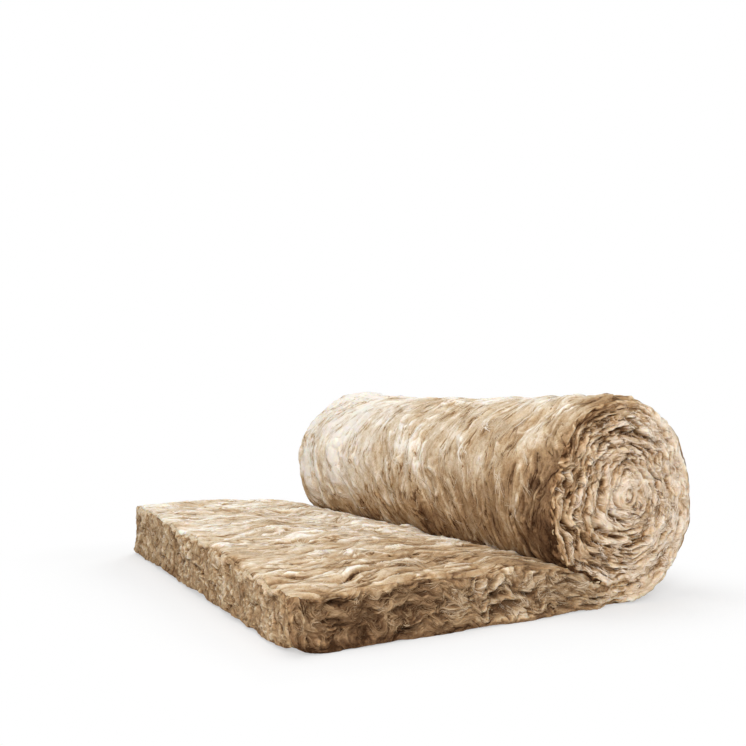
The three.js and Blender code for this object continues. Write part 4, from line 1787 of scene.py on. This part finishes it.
# %% [markdown]
# ## Light
#
# Soft light suits wool, because hard light makes it look like wire. Three large round lamps
# give it: one above, the strongest in front on the left, and one behind that keeps the back
# from going grey. A white world fills the shadows, and it is brighter for the camera, so
# that the background is white.

# %% Lamps
MIDDLE = (0, 0, 0.2)  # what all the lamps point at


def add_area(name, location, size, power):
    light = bpy.data.lights.new(name, "AREA")
    light.shape, light.size, light.energy = "DISK", size, power
    lamp = bpy.data.objects.new(name, light)
    lamp.location = location
    aim = np.array(MIDDLE) - np.array(location)
    yaw = math.atan2(-aim[0], aim[1])
    pitch = math.atan2(aim[2], math.hypot(aim[0], aim[1]))
    lamp.rotation_euler = (math.pi / 2 + pitch, 0, yaw)
    bpy.context.scene.collection.objects.link(lamp)
    print("lamp", name, size, "metres wide,", power, "watts")


add_area("overhead", (-0.4, 0.3, 3.2), size=2.4, power=37)
add_area("front", (-2.0, -3.2, 1.8), size=2.0, power=118)
add_area("back", (2.2, 3.0, 1.8), size=2.4, power=60)

# %% World
WORLD_LIGHT = 0.38
world = bpy.data.worlds.new("studio")
world.use_nodes = True
bpy.context.scene.world = world
sky_tree = world.node_tree
sky = sky_tree.nodes["Background"]
sky.inputs["Color"].default_value = (1, 1, 1, 1)
rays = sky_tree.nodes.new("ShaderNodeLightPath").outputs
shown = math_node(sky_tree, "MAXIMUM", rays["Is Camera Ray"], rays["Is Glossy Ray"])
shown = math_node(sky_tree, "MAXIMUM", shown, rays["Is Transmission Ray"])
feed(sky_tree, sky.inputs["Strength"], math_node(sky_tree, "MAXIMUM", shown, WORLD_LIGHT))
bpy.context.scene.view_settings.view_transform = "Standard"
print("world light", WORLD_LIGHT)

# %% [markdown]
# ## Camera
#
# The camera stands low in front of the mat's near edge, on the tail's side of the roll, and has
# a normal lens. It could be aimed with a constraint, but then its place and its turn would
# depend on each other. Its place is given in mat widths, from the point on the floor below
# the middle of the roll's axis, so it would follow a change of size.

# %% Camera
CAMERA_YAW, CAMERA_PITCH = 0.530277, 0.024422
CAMERA_WIDTHS = (-1.2649, -1.7308, 0.3853)
camera_data = bpy.data.cameras.new("camera")
camera_data.lens = 44.16
camera = bpy.data.objects.new("camera", camera_data)
to_left, to_front, up = (share * WIDTH for share in CAMERA_WIDTHS)
camera.location = (AXIS_X + to_left, to_front, up)
camera.rotation_euler = (math.pi / 2 + CAMERA_PITCH, 0, -CAMERA_YAW)
bpy.context.scene.collection.objects.link(camera)
bpy.context.scene.camera = camera
print("camera at", [round(c, 3) for c in camera.location], "lens", camera_data.lens)

# %% Triangles
meshes = [piece for piece in bpy.data.objects if piece.type == "MESH"]
triangles = {m.name: sum(len(face.vertices) - 2 for face in m.data.polygons) for m in meshes}
print("triangles", triangles, sum(triangles.values()))
